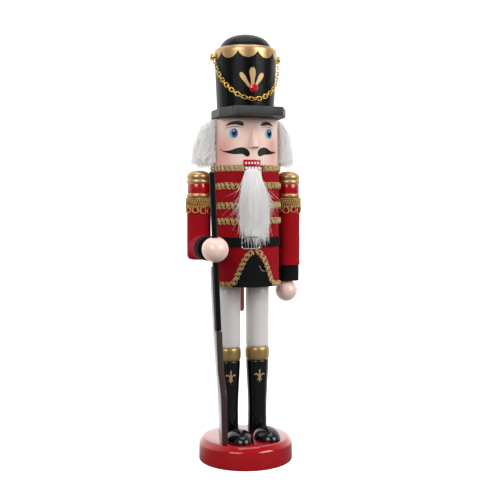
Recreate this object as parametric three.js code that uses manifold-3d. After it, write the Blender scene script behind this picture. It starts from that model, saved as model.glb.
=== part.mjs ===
// A wooden nutcracker soldier on a round base: turned and carved pieces glued on dowels, felt clothes,
// a jaw lever on a pin through the chest and a chain that hangs from two studs on the hat.
// Millimetres. +Z is up and the figure looks along -Y. The origin is the middle of the base's underside.
import * as THREE from "three";
import { mergeVertices } from "three/addons/utils/BufferGeometryUtils.js";
import Module from "manifold-3d";

const wasm = await Module();
wasm.setup();

// Driving dimensions.
const GAP = 0.3; // glue line or clearance between touching pieces
const FINE = 40; // sides of the large turned pieces
const COARSE = 20; // sides of the small turned pieces

const BASE_R = 34.5;
const BASE_TOP_R = 30.7;
const BASE_WALL = 12.9;
const BASE_H = 16.8;

const HEM_Z = 129.2;
const COAT_TOP_Z = 211.2;
const SHOULDER_Z = 214.8; // the top of the torso, under the collar
const HEAD_TOP_Z = 249;
const BRIM_TOP_Z = 255.5;
const TOP_Z = 310;

const BODY_R = 23.5; // bare wood of torso and head
const COAT_R = 24.5; // outside of the felt coat
const BRAID_R = 25.6; // outside of the gold braid on the coat
const BELT_Z = [157.8, 164.6];
const DOWEL_R = 3;

const LEG_X = 11;
const LEG_Y = 7;
const FEET_TURN = 0.11; // radians, the feet point a little to the figure's left
const BOOT_TOP_Z = 72.3;
const KNEE_TOP_Z = 82.3;
const TOE = { halfWidth: 9.3, halfLength: 13.5, height: 8.4, ahead: 20.3 };

const ARM_X = 34;
const ARM_Y = 4;
const CORE_R = 7.6; // wood of the arms inside the sleeves
const SLEEVE_R = 8.6;
const CUFF_R = 8;
const SLEEVE_TOP_Z = 192.5;
const DOWEL_Z = 199.2;
const ELBOW_Z = 157.4;
const LEFT_HAND = { r: 8.15, x: -1.3, z: 123.5 }; // x and z of its middle, from the arm's axis
const RIGHT_HAND = { x: -32, y: -40 };

const JAW_HALF = 6.2;
const SLOT_HALF = 6.8;
const PIVOT = { y: -3, z: 198, r: 1.5 };

const STUD_Z = 293.3;
const RIFLE_LEAN = 0.079; // sideways slope of the rifle, outward at the top
const BARREL_SLOPE = 0.17; // forward slope of the barrel
const BARREL_R = 2.05;
const BARREL_LOW = 84.3; // heights of the barrel's ends above the base
const BARREL_HIGH = 193.4;
const STOCK_T = 4.3;

const BUCKLE = { halfWidth: 6.8, halfHeight: 4.3 };
const CHAIN = { r: 1.1, drop: 31.8, ends: 4.4 }; // the plain chain starts just under the studs
const COLLAR_TOP_Z = 215.4;
const MOUTH_TURN = 0.31; // radians from the front to where the collar starts

// Boolean work on closed meshes.
function solid(geometry) {
  const bare = geometry.clone();
  bare.deleteAttribute("normal");
  bare.deleteAttribute("uv");
  const merged = mergeVertices(bare, 1e-4);
  const vertProperties = new Float32Array(merged.attributes.position.array);
  const triVerts = new Uint32Array(merged.index.array);
  return new wasm.Manifold(new wasm.Mesh({ numProp: 3, vertProperties, triVerts }));
}

function geometryOf(manifold) {
  const mesh = manifold.getMesh();
  const geometry = new THREE.BufferGeometry();
  geometry.setAttribute("position", new THREE.BufferAttribute(new Float32Array(mesh.vertProperties), 3));
  geometry.setIndex(new THREE.BufferAttribute(new Uint32Array(mesh.triVerts), 1));
  geometry.computeVertexNormals();
  return geometry;
}

function cut(geometry, ...tools) {
  return geometryOf(tools.reduce((left, tool) => left.subtract(solid(tool)), solid(geometry)));
}

function join(...geometries) {
  return geometryOf(geometries.slice(1).reduce((all, next) => all.add(solid(next)), solid(geometries[0])));
}

function common(geometry, other) {
  return geometryOf(solid(geometry).intersect(solid(other)));
}

// Shape helpers. Every turned piece stands on the Z axis.
function turned(profile, sides = FINE) {
  return new THREE.LatheGeometry(vectors(profile), sides).rotateX(Math.PI / 2);
}

function tube(inner, outer, low, high, sides = FINE) {
  return turned([[inner, low], [outer, low], [outer, high], [inner, high], [inner, low]], sides);
}

function rod(radius, low, high, sides = COARSE) {
  return turned([[0, low], [radius, low], [radius, high], [0, high]], sides);
}

function rodAlongX(radius, fromX, toX, y, z) {
  return rod(radius, fromX, toX, 16).rotateY(Math.PI / 2).translate(0, y, z);
}

function rodAlongY(radius, fromY, toY, x, z) {
  return rod(radius, -toY, -fromY).rotateX(Math.PI / 2).translate(x, 0, z);
}

function block(width, depth, height, x, y, z) {
  return new THREE.BoxGeometry(width, depth, height).translate(x, y, z);
}

function arc(centreX, centreZ, radius, start, end, steps) {
  return Array.from({ length: steps + 1 }, (_, i) => {
    const angle = start + ((end - start) * i) / steps;
    return [centreX + radius * Math.cos(angle), centreZ + radius * Math.sin(angle)];
  });
}

function vectors(points) {
  return points.map(([x, y]) => new THREE.Vector2(x, y));
}

// An outline in the YZ plane made into a board of the given thickness, centred on x = 0.
function boardYZ(outline, thickness) {
  const shape = new THREE.Shape(vectors(outline));
  const board = new THREE.ExtrudeGeometry(shape, { depth: thickness, bevelEnabled: false });
  board.translate(0, 0, -thickness / 2);
  const axes = new THREE.Matrix4().set(0, 0, 1, 0, 1, 0, 0, 0, 0, 1, 0, 0, 0, 0, 0, 1);
  return board.applyMatrix4(axes);
}

// An outline in the XZ plane, run forward from y = -12 to y = -42 as a cutter for the coat's front.
function frontPrism(outline) {
  const shape = new THREE.Shape(vectors(outline));
  return new THREE.ExtrudeGeometry(shape, { depth: 30, bevelEnabled: false })
    .rotateX(Math.PI / 2)
    .translate(0, -12, 0);
}

// A sector of a tube, from angle start to angle end. Angle 0 is the front and it grows to the figure's left.
function band(inner, outer, low, high, start, end) {
  const at = (radius, angle) => new THREE.Vector2(radius * Math.sin(angle), -radius * Math.cos(angle));
  const steps = Math.max(3, Math.ceil((end - start) / 0.13));
  const outside = Array.from({ length: steps + 1 }, (_, i) => at(outer, start + ((end - start) * i) / steps));
  const inside = Array.from({ length: steps + 1 }, (_, i) => at(inner, end - ((end - start) * i) / steps));
  const shape = new THREE.Shape([...outside, ...inside]);
  return new THREE.ExtrudeGeometry(shape, { depth: high - low, bevelEnabled: false }).translate(0, 0, low);
}

const paint = {
  red: { color: 0x91000f, roughness: 0.2, metalness: 0 },
  felt: { color: 0x90081a, roughness: 0.95, metalness: 0 },
  blackFelt: { color: 0x0d0d10, roughness: 0.95, metalness: 0 },
  black: { color: 0x0c0d0f, roughness: 0.25, metalness: 0 },
  board: { color: 0x2c2d2d, roughness: 0.6, metalness: 0 },
  white: { color: 0xd0ccca, roughness: 0.3, metalness: 0 },
  fur: { color: 0xf0eeea, roughness: 0.9, metalness: 0 },
  flesh: { color: 0xdebeb2, roughness: 0.3, metalness: 0 },
  gold: { color: 0xa57d46, roughness: 0.35, metalness: 0.8 },
  braid: { color: 0xaa915a, roughness: 0.5, metalness: 0.6 },
  silver: { color: 0xb8b8b8, roughness: 0.3, metalness: 1 },
  brown: { color: 0x3c2d2a, roughness: 0.35, metalness: 0 },
  wood: { color: 0xc9a77a, roughness: 0.7, metalness: 0 },
  gem: { color: 0xb0001a, roughness: 0.05, metalness: 0 },
};

const figure = new THREE.Group();

function add(name, geometry, look, parent = figure) {
  const mesh = new THREE.Mesh(geometry, new THREE.MeshStandardMaterial(paint[look]));
  mesh.name = name;
  parent.add(mesh);
  return mesh;
}

// A place for pieces that share an axis of their own.
function placed(x, y, z, turnX = 0, turnY = 0, turnZ = 0) {
  const group = new THREE.Group();
  group.position.set(x, y, z);
  group.rotation.set(turnX, turnY, turnZ);
  figure.add(group);
  return group;
}

// Base: a disc with a rounded shoulder and two blind holes for the legs.
const legSides = { right: -1, left: 1 };
const legPlaces = Object.values(legSides).map((side) => [side * LEG_X, LEG_Y]);

function base() {
  const shoulder = arc(BASE_TOP_R, BASE_H - 3.3, 3.3, 0.15, Math.PI / 2, 5);
  const profile = [[0, 0], [BASE_R - 0.8, 0], [BASE_R, 0.8], [BASE_R, BASE_WALL], ...shoulder, [0, BASE_H]];
  const holes = legPlaces.map(([x, y]) => rod(DOWEL_R + GAP, 10, BASE_H + 2, 20).translate(x, y, 0));
  add("base_disc", cut(turned(profile), ...holes), "red");
}

// Legs: one turned piece each, with boot, knee band, trouser leg and a tenon at both ends.
function legs() {
  const bottom = BASE_H + GAP;
  const profile = [
    [0, bottom - 6],
    [DOWEL_R, bottom - 6],
    [DOWEL_R, bottom],
    [7.2, bottom],
    [7.1, bottom + 22],
    [8.5, BOOT_TOP_Z - 2],
    [8.1, BOOT_TOP_Z],
    [8.8, BOOT_TOP_Z + 1.5],
    [9, (BOOT_TOP_Z + KNEE_TOP_Z) / 2],
    [8.7, KNEE_TOP_Z - 1.2],
    [8.0, KNEE_TOP_Z],
    [8.65, KNEE_TOP_Z + 1.6],
    [8.65, HEM_Z - 0.2],
    [DOWEL_R, HEM_Z - 0.2],
    [DOWEL_R, HEM_Z + 8],
    [0, HEM_Z + 8],
  ];
  for (const [side, sign] of Object.entries(legSides)) {
    const leg = turned(profile, COARSE).translate(sign * LEG_X, LEG_Y, 0);
    add(`leg_${side}`, leg, "black");
    const dome = new THREE.SphereGeometry(1, 20, 12).scale(TOE.halfWidth, TOE.halfLength, TOE.height);
    const toe = cut(
      dome,
      block(40, 40, 20, 0, 0, -10),
      rod(7.2 + GAP, -5, 30).translate(0, TOE.ahead + 0.2, 0),
      block(40, 20, 40, 0, 17, 5),
    );
    const feet = placed(0, LEG_Y, bottom, 0, 0, FEET_TURN);
    const boot = add(`toe_cap_${side}`, toe, "black", feet);
    boot.position.set(sign * LEG_X * 0.98, -TOE.ahead, 0);
  }
}

// The slot that the jaw lever works in, open at the chest, at the shoulder and low on the back.
const slotOutline = [
  [-40, 230],
  [-8.4, 230],
  [-8.4, 208],
  [4, 207.5],
  [40, 175.5],
  [40, 132.3],
  [26, 145.5],
  [-8, 178.5],
  [-40, 178.5],
];
const slot = () => boardYZ(slotOutline, 2 * SLOT_HALF);
const shoulderHoles = () => rodAlongX(DOWEL_R + GAP - 0.5, -40, 40, ARM_Y, DOWEL_Z);

function torso() {
  const legHoles = legPlaces.map(([x, y]) => rod(DOWEL_R + GAP, HEM_Z - 2, HEM_Z + 9, 20).translate(x, y, 0));
  const pin = rodAlongX(PIVOT.r + GAP, -17.5, 40, PIVOT.y, PIVOT.z);
  const armHole = (from, to) => rodAlongX(DOWEL_R - 0.2, from, to, ARM_Y, DOWEL_Z);
  const armHoles = [armHole(-40, -15), armHole(15, 40)];
  const neck = rod(4 + GAP, SHOULDER_Z - 7, SHOULDER_Z + 2, 20).translate(0, 6, 0);
  const trunk = rod(BODY_R, HEM_Z + 0.1, SHOULDER_Z, FINE);
  add("torso", cut(trunk, slot(), ...legHoles, ...armHoles, pin, neck), "wood");
  add("pivot_pin", rodAlongX(PIVOT.r, -17, 23, PIVOT.y, PIVOT.z), "silver");
  add("neck_dowel", rod(4, SHOULDER_Z - 6.5, SHOULDER_Z + 6.5, 20).translate(0, 6, 0), "wood");
  for (const [side, sign] of Object.entries(legSides)) {
    const [from, to] = sign < 0 ? [-ARM_X - 3, -15.4] : [15.4, ARM_X + 3];
    add(`shoulder_dowel_${side}`, rodAlongX(DOWEL_R - 0.5, from, to, ARM_Y, DOWEL_Z), "wood");
  }
}

// Coat: a felt tube split over the slot, with a black felt panel let into its front above the hem.
const PANEL = { apex: 153, half: 15.2 };
const panelOutline = (grow) => [
  [-PANEL.half - grow, HEM_Z - 8],
  [PANEL.half + grow, HEM_Z - 8],
  [PANEL.half + grow, HEM_Z + 0.4],
  [0.6 + grow, PANEL.apex + grow],
  [-0.6 - grow, PANEL.apex + grow],
  [-PANEL.half - grow, HEM_Z + 0.4],
];

function coat() {
  const felt = tube(BODY_R + GAP, COAT_R, HEM_Z, COAT_TOP_Z);
  const dowels = shoulderHoles();
  add("coat_felt", cut(felt, slot(), dowels, frontPrism(panelOutline(0.4))), "felt");
  add("coat_front_panel", common(felt, frontPrism(panelOutline(0))), "blackFelt");
}

function belt() {
  const away = 0.33; // half the gap at the back, where the lever comes out
  const [low, high] = BELT_Z;
  add("belt", band(COAT_R + 0.2, COAT_R + 0.9, low, high, -Math.PI + away, Math.PI - away), "blackFelt");
  const corners = (halfWidth, halfHeight) => {
    const signs = [[-1, -1], [1, -1], [1, 1], [-1, 1]];
    return vectors(signs.map(([x, y]) => [x * halfWidth, y * halfHeight]));
  };
  const frame = new THREE.Shape(corners(BUCKLE.halfWidth, BUCKLE.halfHeight));
  frame.holes.push(new THREE.Path(corners(BUCKLE.halfWidth - 1, BUCKLE.halfHeight - 1).reverse()));
  const wire = new THREE.ExtrudeGeometry(frame, { depth: 0.9, bevelEnabled: false });
  wire.rotateX(Math.PI / 2).translate(0, -COAT_R - 1.1, (low + high) / 2);
  add("belt_buckle", wire, "silver");
}

// Gold braid: collar, three rows across the chest on each side, and the coat's front edges and hem.
function braids() {
  const collar = [BODY_R + GAP, BRAID_R - 0.6, COAT_TOP_Z + 0.2, COLLAR_TOP_Z];
  add("collar_braid", band(...collar, MOUTH_TURN, 2 * Math.PI - MOUTH_TURN), "braid");
  const rows = { upper: 201.1, middle: 187.1, lower: 176.1 };
  for (const [row, z] of Object.entries(rows)) {
    for (const [side, sign] of Object.entries(legSides)) {
      const [start, end] = sign < 0 ? [-1.25, -0.3] : [0.3, 1.25];
      add(`chest_braid_${row}_${side}`, band(COAT_R + 0.2, BRAID_R, z - 2.7, z + 2.7, start, end), "braid");
    }
  }
  for (const [side, sign] of Object.entries(legSides)) {
    const [start, end] = sign < 0 ? [-1.2, -0.02] : [0.02, 1.2];
    const shell = band(COAT_R + 0.2, BRAID_R, HEM_Z + 0.3, PANEL.apex + 3.8, start, end);
    const outer = [[0, 151.6], [0, 157], [3, 156.4], [7.6, 153.6], [11.5, 145.3], [14.6, 134.6]];
    const slant = [...outer, [27, 133.4], [27, HEM_Z], [13.9, HEM_Z], [9.6, 137], [5.7, 147.4]];
    const outline = slant.map(([x, z]) => [sign * x, z]);
    if (sign < 0) outline.reverse();
    add(`coat_edge_braid_${side}`, common(shell, frontPrism(outline)), "braid");
  }
}

// Jaw lever: the chin at the front, the handle behind, and the pin through the thick part between them.
function lever() {
  const outline = [
    [-23.4, 214.6],
    [-11, 214.6],
    [-9.3, 207],
    [-4, 205.3],
    [1.2, 202],
    [33, 154.7],
    ...arc(29.5, 108.8, 3.5, 0, -Math.PI, 6),
    [26, 147.3],
    [0, 185],
    [-3, 184],
    [-20, 184],
    [-23.4, 189],
  ];
  const pin = rodAlongX(PIVOT.r + 0.1, -10, 10, PIVOT.y, PIVOT.z);
  const cheek = rod(COAT_R - 0.2, 90, 230, FINE);
  const chin = common(boardYZ(outline, 2 * JAW_HALF), cheek);
  const handle = boardYZ(outline.slice(4, 15), 2 * JAW_HALF);
  const shaped = join(chin, handle);
  add("jaw_lever", cut(shaped, pin), "red");
}

function beard() {
  const shell = band(COAT_R + 1.7, COAT_R + 5.2, 166.5, 212.4, -0.75, 0.75);
  const outline = [[-12.5, 160], [12.5, 160], [11.5, 178], [6, 215], [-6, 215], [-11.5, 178]];
  add("beard", common(shell, frontPrism(outline)), "fur");
}

// Head, nose, hair and the hat glued on top.
function head() {
  const top = HEAD_TOP_Z;
  const low = SHOULDER_Z + GAP;
  const profile = [[0, low], [BODY_R - 0.4, low], [BODY_R, low + 0.7], [BODY_R, top], [0, top]];
  const neck = rod(4 + GAP, SHOULDER_Z - 2, SHOULDER_Z + 7, 20).translate(0, 6, 0);
  const crown = rod(4 + GAP, top - 6.5, top + 2, 20);
  const noseSeat = block(6.8, 4, 15.2, 0, -BODY_R - 0.6, 234.7);
  add("head", cut(turned(profile), neck, crown, noseSeat), "flesh");
  const wedge = [[-22.3, 227.4], [-28.4, 227.8], [-27.8, 230], [-23.4, 242], [-22.3, 242]];
  const ridgeLine = [[-3.1, 5], [-3.1, -23.2], [-1.6, -28.4], [1.6, -28.4], [3.1, -23.2], [3.1, 5]];
  const ridge = new THREE.Shape(vectors(ridgeLine));
  const keel = new THREE.ExtrudeGeometry(ridge, { depth: 40, bevelEnabled: false }).translate(0, 0, 210);
  add("nose", common(boardYZ(wedge, 6.2), keel), "flesh");
  add("hair_fur", band(BODY_R + 2, BODY_R + 10.5, 215.8, HEAD_TOP_Z - 0.4, 1.5, 2 * Math.PI - 1.5), "fur");
}

function hat() {
  const low = HEAD_TOP_Z + GAP;
  const rear = arc(0, 0, 24.9, 0, Math.PI, 16);
  const outline = [[-16.4, -39], [16.4, -39], [24.3, -20], ...rear, [-24.3, -20]];
  const shape = new THREE.Shape(vectors(outline));
  const board = new THREE.ExtrudeGeometry(shape, { depth: BRIM_TOP_Z - GAP - low, bevelEnabled: false });
  board.translate(0, 0, low);
  add("hat_brim", cut(board, rod(4 + GAP, low - 2, BRIM_TOP_Z + 2, 20)), "board");
  add("hat_dowel", rod(4, HEAD_TOP_Z - 6, BRIM_TOP_Z + 6, 20), "wood");
  const profile = [
    [0, BRIM_TOP_Z],
    [20.7, BRIM_TOP_Z],
    [22.3, 291],
    [22.6, 296.6],
    [21.8, 299.1],
    [19.3, 300.3],
    [17.9, 302.4],
    [15.2, 305.7],
    [10.4, 308.4],
    [4.8, 309.7],
    [0, TOP_Z],
  ];
  const studHoles = [-1, 1].map((s) => rodAlongX(1 + GAP, s < 0 ? -30 : 17, s < 0 ? -17 : 30, 0, STUD_Z));
  const seat = rod(4 + GAP, BRIM_TOP_Z - 2, BRIM_TOP_Z + 6.5, 20);
  add("hat_crown", cut(turned(profile), seat, ...studHoles), "black");
  const gem = turned([[0, 0], [3.15, 0], [3.15, 0.6], [2, 1.7], [0, 2]], 8);
  gem.rotateX(Math.PI / 2).translate(0, -21.75, 269.5);
  add("hat_gem", gem, "gem");
}

// The chain's ends pass round the studs between their domes and the crown.
function hatChain() {
  const stud = [[0, -4.6], [1, -4.6], [1, 1.5], [2.9, 1.5], [2.9, 2.2], [2, 3.4], [0, 4]];
  for (const [side, sign] of Object.entries(legSides)) {
    const dome = turned(stud, 16).rotateY((sign * Math.PI) / 2);
    add(`hat_stud_${side}`, dome.translate(sign * 22.5, 0, STUD_Z), "gold");
  }
  const { drop, ends } = CHAIN;
  const points = Array.from({ length: 25 }, (_, i) => {
    const turn = -1.5 + (3 * i) / 24;
    const z = STUD_Z - ends - (drop - ends) * Math.max(0, Math.cos((turn / 1.5) * (Math.PI / 2))) ** 0.8;
    const radius = 22.4 + 0.045 * (z - BRIM_TOP_Z);
    return new THREE.Vector3(radius * Math.sin(turn), -radius * Math.cos(turn), z);
  });
  const path = new THREE.CatmullRomCurve3(points);
  const section = new THREE.Shape(vectors(arc(0, 0, CHAIN.r, 0, (Math.PI * 5) / 3, 5)));
  const chain = new THREE.ExtrudeGeometry(section, { steps: 36, extrudePath: path, bevelEnabled: false });
  add("hat_chain", chain, "gold");
}

// Turned shoulder of an arm: gold dome, groove, gold ring, red ring and gold ring, above the sleeve.
function shoulderProfile(bottom) {
  return [
    [0, bottom],
    [CORE_R - 1, bottom],
    [CORE_R, bottom + 1],
    [CORE_R, 192.8],
    [8.4, 193.1],
    [8.6, 194.4],
    [8.1, 195.8],
    [8.1, 202.6],
    [8.6, 203.4],
    [8.6, 205],
    [8, 206],
    [8.4, 207.2],
    [8.2, 209],
    [6.4, 211.1],
    [3.2, 212.2],
    [0, 212.4],
  ];
}

function fringe(side, parent) {
  const ring = tube(SLEEVE_R + 0.15, SLEEVE_R + 0.75, SLEEVE_TOP_Z - 7.1, SLEEVE_TOP_Z + 0.3, COARSE);
  add(`epaulette_fringe_${side}`, ring, "braid", parent);
}

function leftArm() {
  const arm = placed(ARM_X, ARM_Y, 0);
  const dowelHole = rodAlongX(DOWEL_R - 0.2, -12, 3.4, 0, DOWEL_Z);
  const tenon = rod(2, LEFT_HAND.z + 1, 133, 16);
  add("arm_left", join(cut(turned(shoulderProfile(130.9), COARSE), dowelHole), tenon), "gold", arm);
  fringe("left", arm);
  add("sleeve_left", tube(CORE_R + 0.2, SLEEVE_R, 143, SLEEVE_TOP_Z, COARSE), "felt", arm);
  add("cuff_left", tube(CORE_R + 0.2, CUFF_R, 131.1, 142.8, COARSE), "blackFelt", arm);
  const ball = new THREE.SphereGeometry(LEFT_HAND.r, 20, 12).rotateX(Math.PI / 2);
  ball.translate(LEFT_HAND.x, 0, LEFT_HAND.z);
  const flat = block(30, 30, 20, 0, 0, 130.7 + 10);
  add("hand_left", cut(ball, flat, rod(2 + GAP, LEFT_HAND.z + 0.6, 140, 16)), "flesh", arm);
}

function rightArm() {
  const arm = placed(-ARM_X, ARM_Y, 0);
  const dowelHole = rodAlongX(DOWEL_R - 0.2, -3.4, 12, 0, DOWEL_Z);
  const reach = RIGHT_HAND.y - ARM_Y; // the hand's middle, counted from the upper arm's axis
  const front = reach + 8;
  const forearmHole = rodAlongY(2 + GAP, -12, 2.4, 0, ELBOW_Z);
  add("arm_right", cut(turned(shoulderProfile(ELBOW_Z - 7), COARSE), dowelHole, forearmHole), "gold", arm);
  fringe("right", arm);
  const clear = rod(CORE_R + GAP, 140, 170);
  const forearm = cut(rodAlongY(CORE_R - 0.3, front, 0, 0, ELBOW_Z), clear);
  const tenon = join(rodAlongY(2, reach + 4, 2, 0, ELBOW_Z), forearm);
  add("forearm_right", tenon, "wood", arm);
  const low = ELBOW_Z - 9.5;
  const corner = 2.4;
  const rounded = [
    [0, low],
    [SLEEVE_R - corner, low],
    [SLEEVE_R, low + corner],
    [SLEEVE_R, SLEEVE_TOP_Z],
    [0, SLEEVE_TOP_Z],
  ];
  const outside = join(turned(rounded, COARSE), rodAlongY(SLEEVE_R, -23.8, 0, 0, ELBOW_Z));
  const upperHollow = rod(CORE_R + 0.2, low + 2.2, SLEEVE_TOP_Z + 8);
  const inside = join(upperHollow, rodAlongY(CORE_R + 0.2, -30, 0, 0, ELBOW_Z));
  add("sleeve_right", cut(outside, inside), "felt", arm);
  add("cuff_right", tubeAlongY(CORE_R - 0.1, CUFF_R + 0.4, front + 0.6, -24.1), "blackFelt", arm);
  const hand = new THREE.SphereGeometry(1, 20, 14).scale(9.2, 9.2, 8.8);
  hand.translate(RIGHT_HAND.x + ARM_X, reach, ELBOW_Z);
  const flat = block(30, 20, 30, 0, front - 0.2 + 10, ELBOW_Z);
  const wrist = rodAlongY(2 + GAP, reach + 3.6, 10, 0, ELBOW_Z);
  const grip = rifleBarrel(BARREL_R + GAP, 60).translate(ARM_X, -ARM_Y, 0);
  add("hand_right", cut(hand, flat, wrist, grip), "flesh", arm);
}

function tubeAlongY(inner, outer, fromY, toY) {
  const length = toY - fromY;
  return tube(inner, outer, 0, length, COARSE).rotateX(Math.PI / 2).translate(0, toY, ELBOW_Z);
}

// Rifle: a round barrel along the front of a board-cut stock whose butt stands on the base.
const rifleFoot = { x: -20.9, z: BASE_H };
const barrelY = (height) => RIGHT_HAND.y - BARREL_SLOPE * (height - (ELBOW_Z - BASE_H));

function rifleLean(geometry) {
  return geometry.rotateY(-Math.atan(RIFLE_LEAN)).translate(rifleFoot.x, 0, rifleFoot.z);
}

function rifleBarrel(radius, low) {
  const length = BARREL_HIGH - low;
  const barrel = rod(radius, 0, length / Math.cos(Math.atan(BARREL_SLOPE)), 20);
  barrel.rotateX(Math.atan(BARREL_SLOPE)).translate(0, barrelY(low), low);
  return rifleLean(barrel);
}

function rifle() {
  add("rifle_barrel", rifleBarrel(BARREL_R, BARREL_LOW), "black");
  const behind = BARREL_R + GAP + 0.1;
  const fore = (height, offset) => [barrelY(height) + offset, height];
  const outline = [
    [-22.6, 0.5],
    [-12.4, 0.5],
    [-16, 22],
    [-19.2, 36],
    [-20, 45],
    fore(54, 5.6),
    fore(62, 6.6),
    fore(78, 8.6),
    fore(98, 9.8),
    fore(126, 8.6),
    fore(129, 6.6),
    fore(129, behind),
    fore(BARREL_LOW - 1, behind),
    fore(BARREL_LOW - 1, -BARREL_R),
    fore(54, -BARREL_R),
    [-31, 38],
  ];
  add("rifle_stock", rifleLean(boardYZ(outline, STOCK_T)), "brown");
}

base();
legs();
torso();
coat();
belt();
braids();
lever();
beard();
head();
hat();
hatChain();
leftArm();
rightArm();
rifle();

export default figure;
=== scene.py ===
import math
import random

import bmesh
import bpy
from mathutils import Matrix, Vector, noise


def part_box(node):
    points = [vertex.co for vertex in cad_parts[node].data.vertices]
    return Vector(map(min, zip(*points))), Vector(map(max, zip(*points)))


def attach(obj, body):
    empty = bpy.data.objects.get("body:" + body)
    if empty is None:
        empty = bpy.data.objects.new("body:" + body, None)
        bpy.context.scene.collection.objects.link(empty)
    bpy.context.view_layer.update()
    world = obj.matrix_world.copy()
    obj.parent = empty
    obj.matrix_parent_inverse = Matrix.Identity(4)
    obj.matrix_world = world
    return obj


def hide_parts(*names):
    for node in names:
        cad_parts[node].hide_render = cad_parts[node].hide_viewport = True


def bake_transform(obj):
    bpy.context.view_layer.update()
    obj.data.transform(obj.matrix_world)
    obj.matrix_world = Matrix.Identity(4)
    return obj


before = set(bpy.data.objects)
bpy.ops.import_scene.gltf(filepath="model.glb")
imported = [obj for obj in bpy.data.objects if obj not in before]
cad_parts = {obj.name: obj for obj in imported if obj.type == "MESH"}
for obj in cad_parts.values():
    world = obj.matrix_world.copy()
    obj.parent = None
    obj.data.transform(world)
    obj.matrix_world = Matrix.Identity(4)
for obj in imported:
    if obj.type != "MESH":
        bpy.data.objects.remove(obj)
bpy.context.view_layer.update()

MM = 0.001
TURN = 2 * math.pi
SIDES = (("left", 1), ("right", -1))  # the figure's own sides, and the sign of their x


def span(node):
    """Lowest and highest corner of a node of the frame, in millimetres."""
    low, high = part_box(node)
    return Vector(low) * 1000, Vector(high) * 1000


def middle(node):
    low, high = span(node)
    return (low + high) / 2


def heights(node):
    low, high = span(node)
    return low.z, high.z


# Heights and radii that many pieces share.
BASE_R = span("base_disc")[1].x
BASE_TOP = heights("base_disc")[1]
HEM, COAT_TOP = heights("coat_felt")
COAT_R = span("coat_felt")[1].x
HEAD_LOW, HEAD_TOP = heights("head")
HEAD_R = span("head")[1].x
BRIM_LOW, BRIM_TOP = heights("hat_brim")
HAT_TOP = heights("hat_crown")[1]
LEG = middle("leg_left")
LEG_TOP = HEM - 0.2
ARM = middle("arm_left")
ELBOW = middle("forearm_right").z


# ---------------------------------------------------------------- making meshes
def kept(name, mesh, finishes, body="root", stands_for=(), slot=None, crease=38):
    """A finished piece with its materials, body (None for one that bends) and replaced nodes; the slot
    argument is not used.
    """
    for finish in finishes if isinstance(finishes, (list, tuple)) else [finishes]:
        mesh.materials.append(finish)
    mesh.shade_smooth()
    mesh.set_sharp_from_angle(angle=math.radians(crease))
    thing = bpy.data.objects.new(name, mesh)
    bpy.context.scene.collection.objects.link(thing)
    if body:
        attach(thing, body)
    if stands_for:
        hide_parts(*([stands_for] if isinstance(stands_for, str) else stands_for))
    return thing


def piece(name, bm, finishes, **facts):
    """A piece from a shape worked out in millimetres."""
    bmesh.ops.scale(bm, vec=(MM, MM, MM), verts=bm.verts)
    mesh = bpy.data.meshes.new(name)
    bm.to_mesh(mesh)
    bm.free()
    return kept(name, mesh, finishes, **facts)


def tidied(bm, gap=0.002):
    """Welds corners closer than the gap and turns the faces outward."""
    bmesh.ops.remove_doubles(bm, verts=bm.verts, dist=gap)
    bmesh.ops.recalc_face_normals(bm, faces=bm.faces)
    return bm


def chain_of(bm, points, close=False):
    """Corners joined by edges, in order."""
    verts = [bm.verts.new(p) for p in points]
    pairs = list(zip(verts, verts[1:])) + ([(verts[-1], verts[0])] if close else [])
    return verts, [bm.edges.new(pair) for pair in pairs]


def turned(profile, steps=96, close=False):
    """A profile of (radius, height) spun round the upright axis."""
    bm = bmesh.new()
    verts, edges = chain_of(bm, [(r, 0, z) for r, z in profile], close)
    bmesh.ops.spin(
        bm, geom=verts + edges, cent=(0, 0, 0), axis=(0, 0, 1), angle=TURN, steps=steps, use_merge=True
    )
    return tidied(bm)


def eased(points, steps=4, close=False):
    """A smooth line through points in the plane."""
    count = len(points)
    out = []
    last = count if close else count - 1
    for i in range(last):
        if close:
            a, b, c, d = (points[(i + k) % count] for k in (-1, 0, 1, 2))
        else:
            a, b = points[max(i - 1, 0)], points[i]
            c, d = points[i + 1], points[min(i + 2, count - 1)]
        for k in range(steps):
            t = k / steps
            out.append(
                tuple(
                    0.5
                    * (
                        2 * q
                        + (r - p) * t
                        + (2 * p - 5 * q + 4 * r - s) * t * t
                        + (3 * q - p - 3 * r + s) * t**3
                    )
                    for p, q, r, s in zip(a, b, c, d)
                )
            )
    if not close:
        out.append(tuple(points[-1]))
    return out


def bow(cx, cz, radius, start, end, steps=8):
    """Points on an arc, angles in degrees."""
    angles = [math.radians(start + (end - start) * i / steps) for i in range(steps + 1)]
    return [(cx + radius * math.cos(a), cz + radius * math.sin(a)) for a in angles]


def thickened(bm, faces, x=0.0, y=0.0, z=0.0):
    """Flat faces drawn out into a closed shape."""
    made = bmesh.ops.extrude_face_region(bm, geom=faces)["geom"]
    bmesh.ops.translate(bm, vec=(x, y, z), verts=[g for g in made if isinstance(g, bmesh.types.BMVert)])


def sliced(bm, axis, step):
    """Cuts a flat piece into strips, so that it can be bent."""
    spots = [v.co[axis] for v in bm.verts]
    normal = Vector((0, 0, 0))
    normal[axis] = 1
    at = math.ceil(min(spots) / step + 0.01) * step
    while at < max(spots) - 0.01 * step:
        geom = bm.verts[:] + bm.edges[:] + bm.faces[:]
        bmesh.ops.bisect_plane(bm, geom=geom, dist=1e-4, plane_co=normal * at, plane_no=normal)
        at += step


def wrapped(bm, radius_at, rolled_r, centre=(0, 0), turn=0.0):
    """Rolls a flat piece, laid out as (distance round, outward, height), on a turned surface."""
    for v in bm.verts:
        angle = v.co.x / rolled_r + turn
        radius = radius_at(v.co.z) + v.co.y
        v.co = Vector((centre[0] + radius * math.sin(angle), centre[1] - radius * math.cos(angle), v.co.z))


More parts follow.
